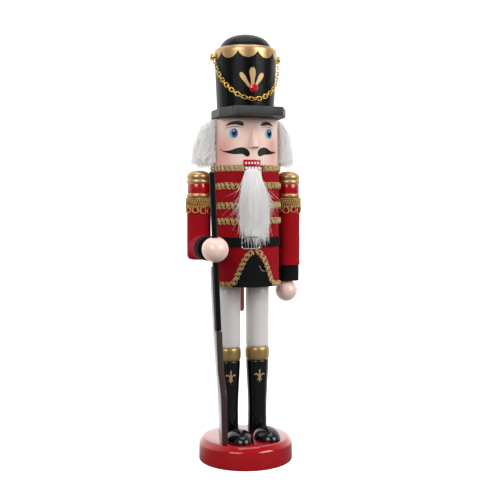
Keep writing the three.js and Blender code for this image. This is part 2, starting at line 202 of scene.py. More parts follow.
def flat_cut(outlines, thickness, lift=0.0, strip=1.6, rise=2.4):
    """Flat shapes cut from outlines of (distance round, height), with a thickness."""
    bm = bmesh.new()
    for outline in outlines:
        bm.faces.new([bm.verts.new((u, lift, z)) for u, z in outline])
    bmesh.ops.triangulate(bm, faces=bm.faces[:])
    sliced(bm, 0, strip)
    sliced(bm, 2, rise)
    thickened(bm, bm.faces[:], y=thickness)
    bmesh.ops.recalc_face_normals(bm, faces=bm.faces)
    return bm


def painted(
    name, outlines, finish, radius_at, rolled_r, lift, thickness=0.06, centre=(0, 0), turn=0.0, **facts
):
    """A shape painted on a turned surface: a thin skin of paint that follows it."""
    bm = flat_cut(outlines, thickness, lift, strip=1.0)
    wrapped(bm, radius_at, rolled_r, centre, turn)
    return piece(name, tidied(bm, 0.0005), finish, **facts)


def board(outline, thickness, bevel=0.3, segments=3):
    """An outline of (depth, height) sawn from a board across the figure, with its edges softened."""
    bm = bmesh.new()
    face = bm.faces.new([bm.verts.new((-thickness / 2, y, z)) for y, z in outline])
    thickened(bm, [face], x=thickness)
    bmesh.ops.recalc_face_normals(bm, faces=bm.faces)
    soften(bm, bevel, segments)
    return bm


def soften(bm, width, segments=3, angle=25):
    """Rounds the edges that are sharper than an angle in degrees."""
    edges = [e for e in bm.edges if len(e.link_faces) == 2 and e.calc_face_angle(0) > math.radians(angle)]
    bmesh.ops.bevel(
        bm, geom=edges, offset=width, segments=segments, profile=0.5, affect="EDGES", material=-1
    )


def carved(bm, tool, operation="DIFFERENCE"):
    """One shape cut by, joined to or kept inside another."""
    holders = []
    for source in (bm, tool):
        mesh = bpy.data.meshes.new("blank")
        source.to_mesh(mesh)
        source.free()
        holder = bpy.data.objects.new("blank", mesh)
        bpy.context.scene.collection.objects.link(holder)
        holders.append(holder)
    work = holders[0].modifiers.new("cut", "BOOLEAN")
    work.object, work.operation, work.solver = holders[1], operation, "EXACT"
    graph = bpy.context.evaluated_depsgraph_get()
    mesh = bpy.data.meshes.new_from_object(holders[0].evaluated_get(graph))
    out = bmesh.new()
    out.from_mesh(mesh)
    for holder in holders:
        blank = holder.data
        bpy.data.objects.remove(holder)
        bpy.data.meshes.remove(blank)
    bpy.data.meshes.remove(mesh)
    bmesh.ops.remove_doubles(out, verts=out.verts, dist=0.0005)
    bmesh.ops.holes_fill(out, edges=[e for e in out.edges if e.is_boundary], sides=8)
    return out


def moved(bm, x=0.0, y=0.0, z=0.0):
    bmesh.ops.translate(bm, vec=(x, y, z), verts=bm.verts)
    return bm


def tipped(bm, angle, axis, about=(0, 0, 0)):
    bmesh.ops.rotate(bm, cent=about, matrix=Matrix.Rotation(angle, 3, axis), verts=bm.verts)
    return bm


def ball(rx, ry, rz, detail=5):
    bm = bmesh.new()
    bmesh.ops.create_icosphere(bm, subdivisions=detail, radius=1)
    bmesh.ops.scale(bm, vec=(rx, ry, rz), verts=bm.verts)
    return bm


def block(width, depth, height, x, y, z):
    bm = bmesh.new()
    bmesh.ops.create_cube(bm, size=1)
    bmesh.ops.scale(bm, vec=(width, depth, height), verts=bm.verts)
    return moved(bm, x, y, z)


def rod(radius, low, high, steps=48):
    return turned([(0, low), (radius, low), (radius, high), (0, high)], steps)


def forward(bm, x, y, z):
    """Turns an upright piece so that its bottom faces forward, with its axis at x and z."""
    return moved(tipped(bm, math.pi / 2, "X"), x, y, z)


def wires(name, lines, finish, radius=0.45, closed=False, resolution=1, **facts):
    """Threads, wires or fur along lines of points; a point may carry a thickness as a fourth number."""
    curve = bpy.data.curves.new(name, "CURVE")
    curve.dimensions = "3D"
    curve.bevel_depth = radius * MM
    curve.bevel_resolution = resolution
    curve.use_fill_caps = True
    for line in lines:
        spline = curve.splines.new("POLY")
        spline.points.add(len(line) - 1)
        flat = []
        for p in line:
            flat.extend((p[0] * MM, p[1] * MM, p[2] * MM, 1.0))
        spline.points.foreach_set("co", flat)
        if len(line[0]) > 3:
            spline.points.foreach_set("radius", [p[3] for p in line])
        spline.use_cyclic_u = closed
        spline.use_smooth = True
    holder = bpy.data.objects.new(name + "_line", curve)
    bpy.context.scene.collection.objects.link(holder)
    graph = bpy.context.evaluated_depsgraph_get()
    mesh = bpy.data.meshes.new_from_object(holder.evaluated_get(graph))
    bpy.data.objects.remove(holder)
    bpy.data.curves.remove(curve)
    mesh.name = name
    mesh.materials.clear()
    bm = bmesh.new()
    bm.from_mesh(mesh)
    bmesh.ops.remove_doubles(bm, verts=bm.verts, dist=1e-7)
    bm.to_mesh(mesh)
    bm.free()
    return kept(name, mesh, finish, crease=70, **facts)


def round_point(angle, radius, z, centre=(0, 0)):
    return (centre[0] + radius * math.sin(angle), centre[1] - radius * math.cos(angle), z)


# ---------------------------------------------------------------- materials
def shader_group(name, inputs, outputs):
    """An empty node group with named inputs (with their starting values) and outputs."""
    tree = bpy.data.node_groups.new(name, "ShaderNodeTree")
    for label, value in inputs.items():
        kind = "NodeSocketColor" if isinstance(value, tuple) else "NodeSocketFloat"
        socket = tree.interface.new_socket(label, in_out="INPUT", socket_type=kind)
        socket.default_value = value
    for label, kind in outputs.items():
        tree.interface.new_socket(label, in_out="OUTPUT", socket_type="NodeSocket" + kind)
    return tree, tree.nodes.new("NodeGroupInput"), tree.nodes.new("NodeGroupOutput")


def node(tree, kind, inputs=None, **settings):
    """A node with its settings; an input is a value or another node's socket."""
    made = tree.nodes.new(kind)
    for key, value in settings.items():
        setattr(made, key, value)
    for key, value in (inputs or {}).items():
        socket = made.inputs[key]
        if isinstance(value, bpy.types.NodeSocket):
            tree.links.new(value, socket)
        else:
            socket.default_value = value
    return made


def sums(tree, operation, a, b=0.0, c=0.0, clamp=False):
    return node(tree, "ShaderNodeMath", {0: a, 1: b, 2: c}, operation=operation, use_clamp=clamp).outputs[0]


def ranged(tree, value, a, b, to_a=0.0, to_b=1.0, smooth=False):
    kind = "SMOOTHSTEP" if smooth else "LINEAR"
    inputs = {"Value": value, "From Min": a, "From Max": b, "To Min": to_a, "To Max": to_b}
    return node(tree, "ShaderNodeMapRange", inputs, interpolation_type=kind).outputs["Result"]


def blended(tree, factor, a, b, kind="MIX"):
    made = tree.nodes.new("ShaderNodeMix")
    made.data_type = "RGBA"
    made.blend_type = kind
    for socket, value in ((made.inputs[0], factor), (made.inputs[6], a), (made.inputs[7], b)):
        if isinstance(value, bpy.types.NodeSocket):
            tree.links.new(value, socket)
        else:
            socket.default_value = value
    return made.outputs[2]


def speckle(tree, scale, detail=2.0, rough=0.5, stretch=None, warp=0.0):
    """Noise over the piece's own coordinates, stretched along an axis where asked."""
    spots = node(tree, "ShaderNodeTexCoord").outputs["Object"]
    if stretch:
        spots = node(tree, "ShaderNodeMapping", {"Vector": spots, "Scale": stretch}).outputs[0]
    inputs = {"Vector": spots, "Scale": scale, "Detail": detail, "Roughness": rough, "Distortion": warp}
    return node(tree, "ShaderNodeTexNoise", inputs).outputs[0]


def bumped(tree, height, strength, distance, normal=None):
    inputs = {"Height": height, "Strength": strength, "Distance": distance}
    if normal is not None:
        inputs["Normal"] = normal
    return node(tree, "ShaderNodeBump", inputs).outputs[0]


def lacquer_group():
    """Hand-brushed lacquer: slight colour drift, brush marks, and pits of the wood under it."""
    tree, given, out = shader_group(
        "lacquer_surface",
        {"Colour": (0.5, 0.5, 0.5, 1), "Drift": 0.15, "Roughness": 0.15, "Ripple": 0.15, "Pits": 0.1},
        {"Colour": "Color", "Roughness": "Float", "Normal": "Vector"}
    )
    cloud = speckle(tree, 45, 3)
    grain = speckle(tree, 160, 4, 0.6, stretch=(1, 1, 0.12))
    fine = speckle(tree, 900, 2)
    dark = blended(tree, 1.0, given.outputs["Colour"], (0.62, 0.62, 0.62, 1), "MULTIPLY")
    mask = sums(
        tree, "MULTIPLY",
        ranged(tree, sums(tree, "ADD", cloud, sums(tree, "MULTIPLY", grain, 0.5)), 0.6, 1.0),
        given.outputs["Drift"]
    )
    tree.links.new(blended(tree, mask, given.outputs["Colour"], dark), out.inputs["Colour"])
    rough = sums(
        tree, "MULTIPLY_ADD", ranged(tree, grain, 0.3, 0.7, -0.04, 0.06), 1.0, given.outputs["Roughness"]
    )
    tree.links.new(rough, out.inputs["Roughness"])
    ripple = sums(tree, "MULTIPLY", cloud, given.outputs["Ripple"])
    pits = sums(
        tree, "MULTIPLY", sums(tree, "ADD", grain, sums(tree, "MULTIPLY", fine, 0.35)),
        given.outputs["Pits"]
    )
    tree.links.new(bumped(tree, sums(tree, "ADD", ripple, pits), 1.0, 0.0009), out.inputs["Normal"])
    return tree


def felt_group():
    """Pressed wool felt: short tangled fibres, pale lint on top and thin places."""
    tree, given, out = shader_group(
        "felt_surface", {"Colour": (0.3, 0.0, 0.01, 1), "Lint": 0.3, "Depth": 1.0},
        {"Colour": "Color", "Roughness": "Float", "Normal": "Vector"}
    )
    tangle = speckle(tree, 900, 5, 0.72, warp=2.2)
    hairs = speckle(tree, 2600, 3, 0.7, stretch=(1, 1, 0.35), warp=1.2)
    worn = speckle(tree, 70, 3, 0.6)
    dark = blended(tree, 1.0, given.outputs["Colour"], (0.5, 0.45, 0.45, 1), "MULTIPLY")
    pale = blended(tree, 0.22, given.outputs["Colour"], (0.75, 0.6, 0.6, 1))
    body = blended(tree, ranged(tree, tangle, 0.34, 0.62), dark, given.outputs["Colour"])
    lint = sums(tree, "MULTIPLY", ranged(tree, hairs, 0.6, 0.78), given.outputs["Lint"])
    lint = sums(tree, "MULTIPLY", lint, ranged(tree, worn, 0.3, 0.7, 0.4, 1.0))
    tree.links.new(blended(tree, lint, body, pale), out.inputs["Colour"])
    tree.links.new(ranged(tree, tangle, 0.3, 0.7, 0.86, 1.0), out.inputs["Roughness"])
    height = sums(tree, "ADD", tangle, sums(tree, "MULTIPLY", hairs, 0.5))
    tree.links.new(
        bumped(tree, sums(tree, "MULTIPLY", height, given.outputs["Depth"]), 0.8, 0.0004),
        out.inputs["Normal"]
    )
    return tree


def thread_group():
    """Lurex thread: the metal strip darkened in a twisting pattern as painted shade in the gaps of the twist,
    round a pale core whose spots also serve as painted glints.
    """
    tree, given, out = shader_group(
        "lurex_surface", {"Metal": (0.6, 0.42, 0.16, 1), "Core": (0.75, 0.66, 0.42, 1), "Bare": 0.4},
        {"Colour": "Color", "Metallic": "Float", "Roughness": "Float", "Normal": "Vector"}
    )
    # Pale spots where the core shows, which also serve as painted glints.
    glint_and_core_noise = speckle(tree, 1500, 2, 0.6)
    twist = speckle(tree, 3200, 1, 0.5)
    core_and_glint_mask = ranged(tree, glint_and_core_noise, 0.42, 0.6)
    core_and_glint_mask = sums(tree, "MULTIPLY", core_and_glint_mask, given.outputs["Bare"], clamp=True)
    # Painted shade: the metal colour darkened towards brown in a twisting pattern, for the gaps of the twist.
    shaded = blended(
        tree, ranged(tree, twist, 0.35, 0.65, 0.0, 0.65), given.outputs["Metal"], (0.12, 0.075, 0.02, 1)
    )
    tree.links.new(blended(tree, core_and_glint_mask, shaded, given.outputs["Core"]), out.inputs["Colour"])
    tree.links.new(ranged(tree, core_and_glint_mask, 0.0, 0.6, 0.9, 0.15), out.inputs["Metallic"])
    tree.links.new(ranged(tree, twist, 0.3, 0.7, 0.22, 0.5), out.inputs["Roughness"])
    tree.links.new(bumped(tree, twist, 0.8, 0.0003), out.inputs["Normal"])
    return tree


def wood_group():
    """Bare lime wood: growth rings, fibres and small pores."""
    tree, given, out = shader_group(
        "bare_wood_surface", {"Light": (0.55, 0.36, 0.19, 1), "Dark": (0.33, 0.19, 0.09, 1), "Fibre": 1.0},
        {"Colour": "Color", "Roughness": "Float", "Normal": "Vector"}
    )
    spots = node(tree, "ShaderNodeTexCoord").outputs["Object"]
    laid = node(tree, "ShaderNodeMapping", {"Vector": spots, "Scale": (1, 1, 0.06)}).outputs[0]
    rings = node(
        tree, "ShaderNodeTexWave", {"Vector": laid, "Scale": 90, "Distortion": 4.0, "Detail": 3.0},
        wave_type="RINGS"
    ).outputs[1]
    fibre = speckle(tree, 900, 3, 0.6, stretch=(1, 1, 0.05))
    mask = sums(tree, "ADD", sums(tree, "MULTIPLY", rings, 0.45), sums(tree, "MULTIPLY", fibre, 0.5))
    tree.links.new(blended(tree, mask, given.outputs["Light"], given.outputs["Dark"]), out.inputs["Colour"])
    tree.links.new(ranged(tree, fibre, 0.3, 0.7, 0.55, 0.75), out.inputs["Roughness"])
    tree.links.new(
        bumped(tree, sums(tree, "MULTIPLY", fibre, given.outputs["Fibre"]), 0.5, 0.0003),
        out.inputs["Normal"]
    )
    return tree


LACQUER, FELT, LUREX, BARE_WOOD = lacquer_group(), felt_group(), thread_group(), wood_group()


def blank_material(name):
    material = bpy.data.materials.new(name)
    material.use_nodes = True
    return material, material.node_tree, material.node_tree.nodes["Principled BSDF"]


def sockets_from(tree, group, values):
    holder = tree.nodes.new("ShaderNodeGroup")
    holder.node_tree = group
    for key, value in values.items():
        if isinstance(value, bpy.types.NodeSocket):
            tree.links.new(value, holder.inputs[key])
        else:
            holder.inputs[key].default_value = value
    return holder.outputs


def finish(name, group=None, values=None, **constants):
    """A material from a surface group, with the shader's own plain values."""
    material, tree, shader = blank_material(name)
    for key, value in constants.items():
        shader.inputs[key.replace("_", " ")].default_value = value
    if group:
        outputs = sockets_from(tree, group, values or {})
        names = {"Colour": "Base Color", "Metallic": "Metallic", "Roughness": "Roughness", "Normal": "Normal"}
        for socket in outputs:
            tree.links.new(socket, shader.inputs[names[socket.name]])
    return material


def paint(red, green, blue):
    """A colour given as it looks on a screen, 0 to 255, made linear."""
    seen = (red / 255, green / 255, blue / 255)
    return tuple(c / 12.92 if c <= 0.04045 else ((c + 0.055) / 1.055) ** 2.4 for c in seen) + (1.0,)


def lacquer(name, colour, drift=0.2, roughness=0.14, ripple=0.12, pits=0.06, **constants):
    values = {"Colour": colour, "Drift": drift, "Roughness": roughness, "Ripple": ripple, "Pits": pits}
    return finish(name, LACQUER, values, **constants)


red_gloss = lacquer(
    "red_gloss_lacquer", paint(164, 0, 14), 0.25, 0.12, 0.1, 0.03, Specular_IOR_Level=0.2, Coat_Weight=1.0,
    Coat_Roughness=0.04
)
white_gloss = lacquer("white_gloss_lacquer", paint(214, 210, 208), 0.12, 0.2, 0.12, 0.05)
boot_black = lacquer("boot_black_lacquer", paint(5, 6, 8), 0.2, 0.15, 0.12, 0.04)
gold_paint = lacquer("gold_paint", paint(190, 156, 108), 0.6, 0.33, 0.1, 0.2, Metallic=0.8)
pale_gold = lacquer("pale_gold_paint", paint(198, 164, 116), 0.5, 0.42, 0.1, 0.2, Metallic=0.35)
band_gold = lacquer("knee_gold_paint", paint(178, 146, 94), 0.6, 0.34, 0.1, 0.18, Metallic=0.65)
hat_black = lacquer("hat_black_paint", paint(4, 4, 5), 0.35, 0.29, 0.1, 0.4, Specular_IOR_Level=0.13)
brim_board = lacquer("brim_board_paint", paint(40, 41, 41), 0.9, 0.5, 0.1, 0.8)
hand_skin = lacquer("hand_skin_paint", paint(234, 202, 190), 0.1, 0.2, 0.1, 0.03)
line_black = lacquer("brush_black_paint", paint(12, 5, 5), 0.3, 0.4, 0.1, 0.1, Specular_IOR_Level=0.25)
eye_white = lacquer("eye_white_paint", paint(232, 212, 206), 0.1, 0.3, 0.1, 0.05)
eye_light = lacquer("eye_light_blue_paint", paint(140, 184, 208), 0.3, 0.3, 0.1, 0.05)
eye_blue = lacquer("eye_blue_paint", paint(28, 100, 148), 0.4, 0.3, 0.1, 0.05)
eye_dark = lacquer("eye_dark_paint", paint(8, 22, 40), 0.3, 0.25, 0.1, 0.05, Specular_IOR_Level=0.1)
lip_red = lacquer("lip_red_paint", paint(176, 10, 36), 0.3, 0.25, 0.1, 0.06)
tooth_white = lacquer("tooth_white_paint", paint(238, 226, 224), 0.15, 0.3, 0.1, 0.05)
rifle_black = lacquer("rifle_black_paint", paint(7, 7, 8), 0.3, 0.34, 0.1, 0.12, Specular_IOR_Level=0.22)
rifle_brown = lacquer(
    "rifle_brown_lacquer", paint(58, 40, 38), 0.6, 0.2, 0.14, 0.3, Coat_Weight=1.0, Coat_Roughness=0.12
)
red_felt = finish(
    "red_felt", FELT, {"Colour": paint(168, 6, 26), "Lint": 0.5, "Depth": 1.0}, Specular_IOR_Level=0.15
)
black_felt = finish(
    "black_felt", FELT, {"Colour": paint(19, 19, 22), "Lint": 0.3, "Depth": 1.0}, Specular_IOR_Level=0.12
)
# The pale core colours of the braid and fringe threads are also painted glints.
gold_thread = finish(
    "gold_lurex_thread", LUREX, {"Metal": paint(208, 172, 98), "Core": paint(240, 226, 172), "Bare": 0.7}
)
fringe_thread = finish(
    "fringe_gold_thread", LUREX, {"Metal": paint(214, 176, 88), "Core": paint(236, 214, 148), "Bare": 0.5}
)
bare_wood = finish("bare_lime_wood", BARE_WOOD, {})


def skin_material():
    """Face paint with sprayed pink cheeks."""
    material = lacquer("face_skin_paint", paint(234, 200, 186), 0.1, 0.34, 0.1, 0.05)
    tree = material.node_tree
    shader = tree.nodes["Principled BSDF"]
    spots = node(tree, "ShaderNodeTexCoord").outputs["Object"]
    colour = shader.inputs["Base Color"].links[0].from_socket
    # Each puff of pink: distance round the face, height, reach and strength.
    cheeks = [(-23.5, 228.0, 12.0, 0.62), (17.5, 228.5, 9.5, 0.72)]
    cheeks += [(-24.0, 219.0, 11.0, 0.5), (18.5, 220.0, 8.5, 0.42)]
    for u, z, size, strength in cheeks:
        at = round_point(u / HEAD_R, HEAD_R, z)
        far = node(
            tree, "ShaderNodeVectorMath", {0: spots, 1: tuple(c * MM for c in at)}, operation="DISTANCE"
        ).outputs["Value"]
        mask = ranged(tree, far, size * MM, 1.2 * MM, 0.0, strength * 0.75, smooth=True)
        colour = blended(tree, mask, colour, paint(216, 104, 98))
    tree.links.new(colour, shader.inputs["Base Color"])
    return material


face_skin = skin_material()


def fur_material(name, base, tip):
    """White rabbit fur: streaks along the hairs, soft and slightly see-through in tone."""
    material, tree, shader = blank_material(name)
    streak = speckle(tree, 1100, 4, 0.65, stretch=(1, 1, 0.08), warp=0.6)
    lock = speckle(tree, 220, 3, 0.6, stretch=(1, 1, 0.2))
    mask = sums(tree, "ADD", sums(tree, "MULTIPLY", streak, 0.7), sums(tree, "MULTIPLY", lock, 0.5))
    tree.links.new(blended(tree, ranged(tree, mask, 0.42, 0.74), base, tip), shader.inputs["Base Color"])
    tree.links.new(ranged(tree, streak, 0.3, 0.7, 0.7, 0.9), shader.inputs["Roughness"])
    tree.links.new(bumped(tree, mask, 0.9, 0.0006), shader.inputs["Normal"])
    shader.inputs["Specular IOR Level"].default_value = 0.2
    shader.inputs["Sheen Weight"].default_value = 0.3
    return material


fur = fur_material("white_fur", paint(240, 238, 236), paint(254, 254, 253))
# A little greyer than the white fur: painted shade deep in the fur, for the pelts under the strands; the
# stray thread on the coat takes it too.
fur_under = fur_material("fur_underside", paint(222, 219, 216), paint(250, 249, 247))


def metal(name, colour, roughness, dirt=0.3):
    """Plated wire or stamping: bright, with duller hollows and fine scratches."""
    material, tree, shader = blank_material(name)
    stain = speckle(tree, 400, 4, 0.6)
    scratch = speckle(tree, 2400, 2, 0.6)
    dull = tuple(c * 0.45 for c in colour[:3]) + (1.0,)
    mask = sums(tree, "MULTIPLY", ranged(tree, stain, 0.45, 0.7), dirt)
    tree.links.new(blended(tree, mask, colour, dull), shader.inputs["Base Color"])
    tree.links.new(
        ranged(tree, scratch, 0.3, 0.7, roughness * 0.7, roughness * 1.5), shader.inputs["Roughness"]
    )
    tree.links.new(bumped(tree, scratch, 0.3, 0.0001), shader.inputs["Normal"])
    shader.inputs["Metallic"].default_value = 1.0
    return material


brass = metal("gilt_chain_metal", paint(236, 196, 92), 0.2, 0.5)
stud_gilt = metal("gilt_stud_metal", paint(206, 174, 104), 0.22, 0.5)
silver_wire = metal("silver_buckle_wire", paint(206, 204, 198), 0.2, 0.25)
steel = metal("steel_pin_metal", paint(176, 178, 182), 0.28, 0.3)


def gem_material():
    """Cut red stone on foil: bright and dark red patches in cells as painted reflections and shade of the
    facets, under a hard gloss.
    """
    material, tree, shader = blank_material("red_stone")
    spots = node(tree, "ShaderNodeTexCoord").outputs["Object"]
    cells = node(tree, "ShaderNodeTexVoronoi", {"Vector": spots, "Scale": 620.0}).outputs["Color"]
    level = node(tree, "ShaderNodeSeparateColor", {0: cells}).outputs[0]
    # Painted light: dark and bright red by cell, each cell standing for a facet lit bright or left in shade.
    tree.links.new(blended(tree, level, paint(96, 0, 6), paint(206, 12, 18)), shader.inputs["Base Color"])
    tree.links.new(ranged(tree, level, 0.0, 1.0, 0.05, 0.14), shader.inputs["Roughness"])
    shader.inputs["Coat Weight"].default_value = 1.0
    shader.inputs["Coat Roughness"].default_value = 0.03
    return material


red_stone = gem_material()


def floor_material():
    """Pale studio paper, lit up where the camera sees it so that it runs into the white room.

    Away from the camera's own view it is grey in front of the figure and white behind it, as a
    paper sweep lit from behind looks in glossy paint.
    """
    material, tree, shader = blank_material("studio_floor_paper")
    seen = node(tree, "ShaderNodeLightPath").outputs["Is Camera Ray"]
    mottle = ranged(tree, speckle(tree, 3.0), 0.3, 0.7)
    spots = node(tree, "ShaderNodeTexCoord").outputs["Object"]
    across = node(tree, "ShaderNodeSeparateXYZ", {0: spots}).outputs[1]
    behind = ranged(tree, across, -0.01, 0.09, smooth=True)
    dim = blended(tree, behind, paint(96, 96, 96), paint(246, 246, 246))
    pale = blended(tree, mottle, paint(244, 244, 244), paint(248, 248, 248))
    tree.links.new(blended(tree, seen, dim, pale), shader.inputs["Base Color"])
    shader.inputs["Roughness"].default_value = 0.7
    shader.inputs["Specular IOR Level"].default_value = 0.1
    shader.inputs["Emission Color"].default_value = (1, 1, 1, 1)
    tree.links.new(sums(tree, "MULTIPLY", seen, 0.55), shader.inputs["Emission Strength"])
    return material


# ---------------------------------------------------------------- base and legs
def base_disc():
    profile = [(0, 0), (BASE_R - 0.9, 0)] + bow(BASE_R - 0.8, 0.8, 0.8, -80, 0, 6)
    profile += [(BASE_R, 4), (BASE_R, 8)]
    # The rounded shoulder, as distances in from the wall and down from the top.
    shoulder = [(0.0, 4.4), (0.12, 3.8), (0.6, 3.0), (1.3, 2.1)]
    shoulder += [(2.0, 1.25), (2.6, 0.6), (3.2, 0.2), (3.9, 0.02)]
    profile += eased([(BASE_R - inward, BASE_TOP - below) for inward, below in shoulder], 4)
    profile += [(24, BASE_TOP), (12, BASE_TOP), (0, BASE_TOP)]
    piece(
        "base_turning", turned(profile, 160), red_gloss, stands_for="base_disc", slot="red_gloss", crease=60
    )


BOOT_TOP, KNEE_TOP, LEG_R = 72.3, 82.3, 8.66
TOE_SIZE, TOE_AHEAD = (9.3, 13.5, 8.4), 20.3
FEET_TURN = 0.11  # radians, both feet point a little to the figure's left
BOOT_LINE = [(7.2, BASE_TOP + 0.3), (7.1, BASE_TOP + 10), (7.1, BASE_TOP + 22)]
BOOT_LINE += [(7.6, 52), (8.2, 63), (8.5, BOOT_TOP - 1.8)]


def radius_on(line, z):
    """The radius of a turned outline at a height."""
    for (r0, z0), (r1, z1) in zip(line, line[1:]):
        if z <= z1:
            return r0 + (r1 - r0) * (z - z0) / (z1 - z0)
    return line[-1][0]


def boot_r(z):
    return radius_on(BOOT_LINE, z)


def by_height(bm, bands):
    """Gives each face the number of the paint for its height: bands are (height, number) from below."""
    for face in bm.faces:
        z = face.calc_center_median().z
        face.material_index = next(number for top, number in bands if z < top)


def legs():
    profile = [(0, BASE_TOP + 0.3), (7.0, BASE_TOP + 0.3)]
    profile += eased(BOOT_LINE, 4)
    profile += [(8.5, BOOT_TOP - 0.9), (8.3, BOOT_TOP - 0.2), (7.9, BOOT_TOP), (8.3, BOOT_TOP + 0.3)]
    knee = [(8.6, BOOT_TOP + 0.7), (8.95, BOOT_TOP + 2), (9.05, 77.3), (8.95, KNEE_TOP - 2)]
    profile += eased(knee + [(8.6, KNEE_TOP - 0.7)], 3)
    profile += [(8.3, KNEE_TOP - 0.2), (7.9, KNEE_TOP), (8.3, KNEE_TOP + 0.4), (8.55, KNEE_TOP + 1.1)]
    profile += [(LEG_R, KNEE_TOP + 2.2)] + [(LEG_R, z) for z in (90, 100, 110, 120)]
    profile += [(LEG_R, LEG_TOP - 0.4), (8.3, LEG_TOP), (0, LEG_TOP)]
    for side, sign in SIDES:
        bm = moved(turned(profile, 64), sign * LEG.x, LEG.y)
        by_height(bm, [(BOOT_TOP, 0), (KNEE_TOP, 1), (999, 2)])
        piece(
            f"leg_turning_{side}", bm, [boot_black, band_gold, white_gloss], stands_for=f"leg_{side}",
            slot="painted_leg", crease=50
        )


def toe_caps():
    for side, sign in SIDES:
        bm = ball(*TOE_SIZE)
        bm = carved(bm, block(40, 40, 20, 0, 0, -10))
        bm = carved(bm, moved(rod(7.5, -5, 30), 0, 20.5, 0))
        bm = carved(bm, block(40, 20, 40, 0, 17, 5))
        soften(bm, 0.35, 2, 40)
        moved(bm, sign * LEG.x * 0.98, -TOE_AHEAD, 0)
        tipped(bm, FEET_TURN, "Z")
        moved(bm, 0, LEG.y, heights(f"toe_cap_{side}")[0])
        piece(
            f"toe_turning_{side}", bm, boot_black, stands_for=f"toe_cap_{side}", slot="black_gloss",
            crease=45
        )


def boot_motifs():
    half = [(0, 66.3), (0.57, 64.7), (0.46, 63.1), (0.96, 61.4), (0.94, 59.6), (0.54, 57.9), (0, 55.4)]
    wing = [(1.06, 60.5), (1.44, 61.04), (2.38, 61.77), (3.27, 61.57), (3.93, 60.97), (3.76, 62.17)]
    wing += [(2.87, 62.83), (1.73, 62.54), (1.06, 61.5)]
    leaf = [(1.06, 59.5), (0.66, 58.4), (1.13, 57.77), (1.94, 57.23), (1.33, 58.64)]
    shapes = [half + [(-u, z) for u, z in reversed(half[1:-1])], wing, leaf]
    shapes += [[(-u, z) for u, z in reversed(shape)] for shape in (wing, leaf)]
    for side, sign in SIDES:
        painted(
            f"boot_flourish_{side}", shapes, pale_gold, boot_r, 8, 0.02, centre=(sign * LEG.x, LEG.y),
            turn=-0.05, slot="painted_leg"
        )


# ---------------------------------------------------------------- coat, belt and braid
FELT_T = 0.7
SLOT_TOP = 178.5
PANEL_APEX, PANEL_HALF = 153.2, 15.0


def front_cutter(outline):
    """An outline of (side, height) run through the front of the coat."""
    bm = bmesh.new()
    face = bm.faces.new([bm.verts.new((x, -42, z)) for x, z in outline])
    thickened(bm, [face], y=30)
    bmesh.ops.recalc_face_normals(bm, faces=bm.faces)
    return bm


def body_felt(outer, steps=168):
    rows = 42
    heights = [HEM + (COAT_TOP - HEM) * i / rows for i in range(rows + 1)]
    inner = COAT_R - FELT_T
    return turned([(inner, HEM)] + [(outer, z) for z in heights] + [(inner, COAT_TOP)], steps, close=True)


def panel_outline(grow):
    """The black panel's outline, or the larger opening for it in the coat."""
    side = [(PANEL_HALF, HEM - 9), (PANEL_HALF, HEM + 0.2), (11.2, 138), (7.4, 145.4), (0.7, PANEL_APEX)]
    side = [(x + grow, z) for x, z in side]
    return [(-x, z) for x, z in side] + side[::-1]


def coat_pieces():
    notch = 7.0
    back_low, back_high = 144.5, 190.0
    bm = body_felt(COAT_R)
    bm = carved(bm, block(2 * notch, 30, 60, 0, -25, SLOT_TOP + 30))
    bm = carved(bm, block(2 * notch, 30, back_high - back_low, 0, 25, (back_low + back_high) / 2))
    bm = carved(bm, block(0.3, 30, 120, 0, 25, 170))
    bm = carved(bm, front_cutter(panel_outline(0.3)))
    for v in bm.verts:
        side = Vector((v.co.x, v.co.y, 0))
        if side.length > COAT_R - 0.3:
            lump = noise.noise(v.co * 0.11) * 0.14 + noise.noise(v.co * 0.5) * 0.05
            flare = 0.3 * max(0.0, 1 - (v.co.z - HEM) / 10) ** 2
            v.co += side.normalized() * (lump + flare)
    felt = piece("coat_cloth", bm, red_felt, stands_for="coat_felt", slot="red_felt", crease=60)
    bm = carved(body_felt(COAT_R - 0.1), front_cutter(panel_outline(0)), "INTERSECT")
    panel = piece(
        "coat_front_cloth", bm, black_felt, stands_for="coat_front_panel", slot="black_felt", crease=60
    )
    stray = eased([(3.2, 144.5), (4.2, 143.9), (5.2, 141.5), (7.6, 140.6), (9.6, 140.9)], 5)
    spots = [round_point(u / COAT_R, COAT_R + 0.25, z) for u, z in stray]
    wires("stray_thread", [spots], fur_under, 0.09, resolution=0)


def belt_and_buckle():
    low, high = heights("belt")
    half = (math.pi - 0.33) * COAT_R
    outline = [(-half, low), (half, low), (half, high), (-half, high)]
    bm = flat_cut([outline], 0.7, 0.2, strip=1.6, rise=1.4)
    wrapped(bm, lambda z: COAT_R, COAT_R)
    piece("belt_strap", tidied(bm, 0.0005), black_felt, stands_for="belt", slot="black_felt", crease=60)
    mid = (low + high) / 2 - 0.1
    ring = bow(4.6, 2.3, 2.0, 0, 90, 5) + bow(-4.6, 2.3, 2.0, 90, 180, 5)
    ring += bow(-4.6, -2.3, 2.0, 180, 270, 5) + bow(4.6, -2.3, 2.0, 270, 360, 5)
    turn = -3.0 / COAT_R
    round_r = 29  # turns a distance along the belt into an angle
    spots = [round_point(turn + u / round_r, 28.2 + 0.012 * u * u, mid + z) for u, z in ring]
    bar = ((0.4, -4.3), (0.5, 0), (0.3, 4.3))
    tongue = [round_point(turn + u / round_r, 27.6, mid + z) for u, z in bar]
    wires(
        "buckle_wire", [spots], silver_wire, 0.45, closed=True, resolution=2, stands_for="belt_buckle",
        slot="buckle_wire"
    )
    wires("buckle_tongue", [tongue], silver_wire, 0.35, resolution=2, slot="buckle_wire")


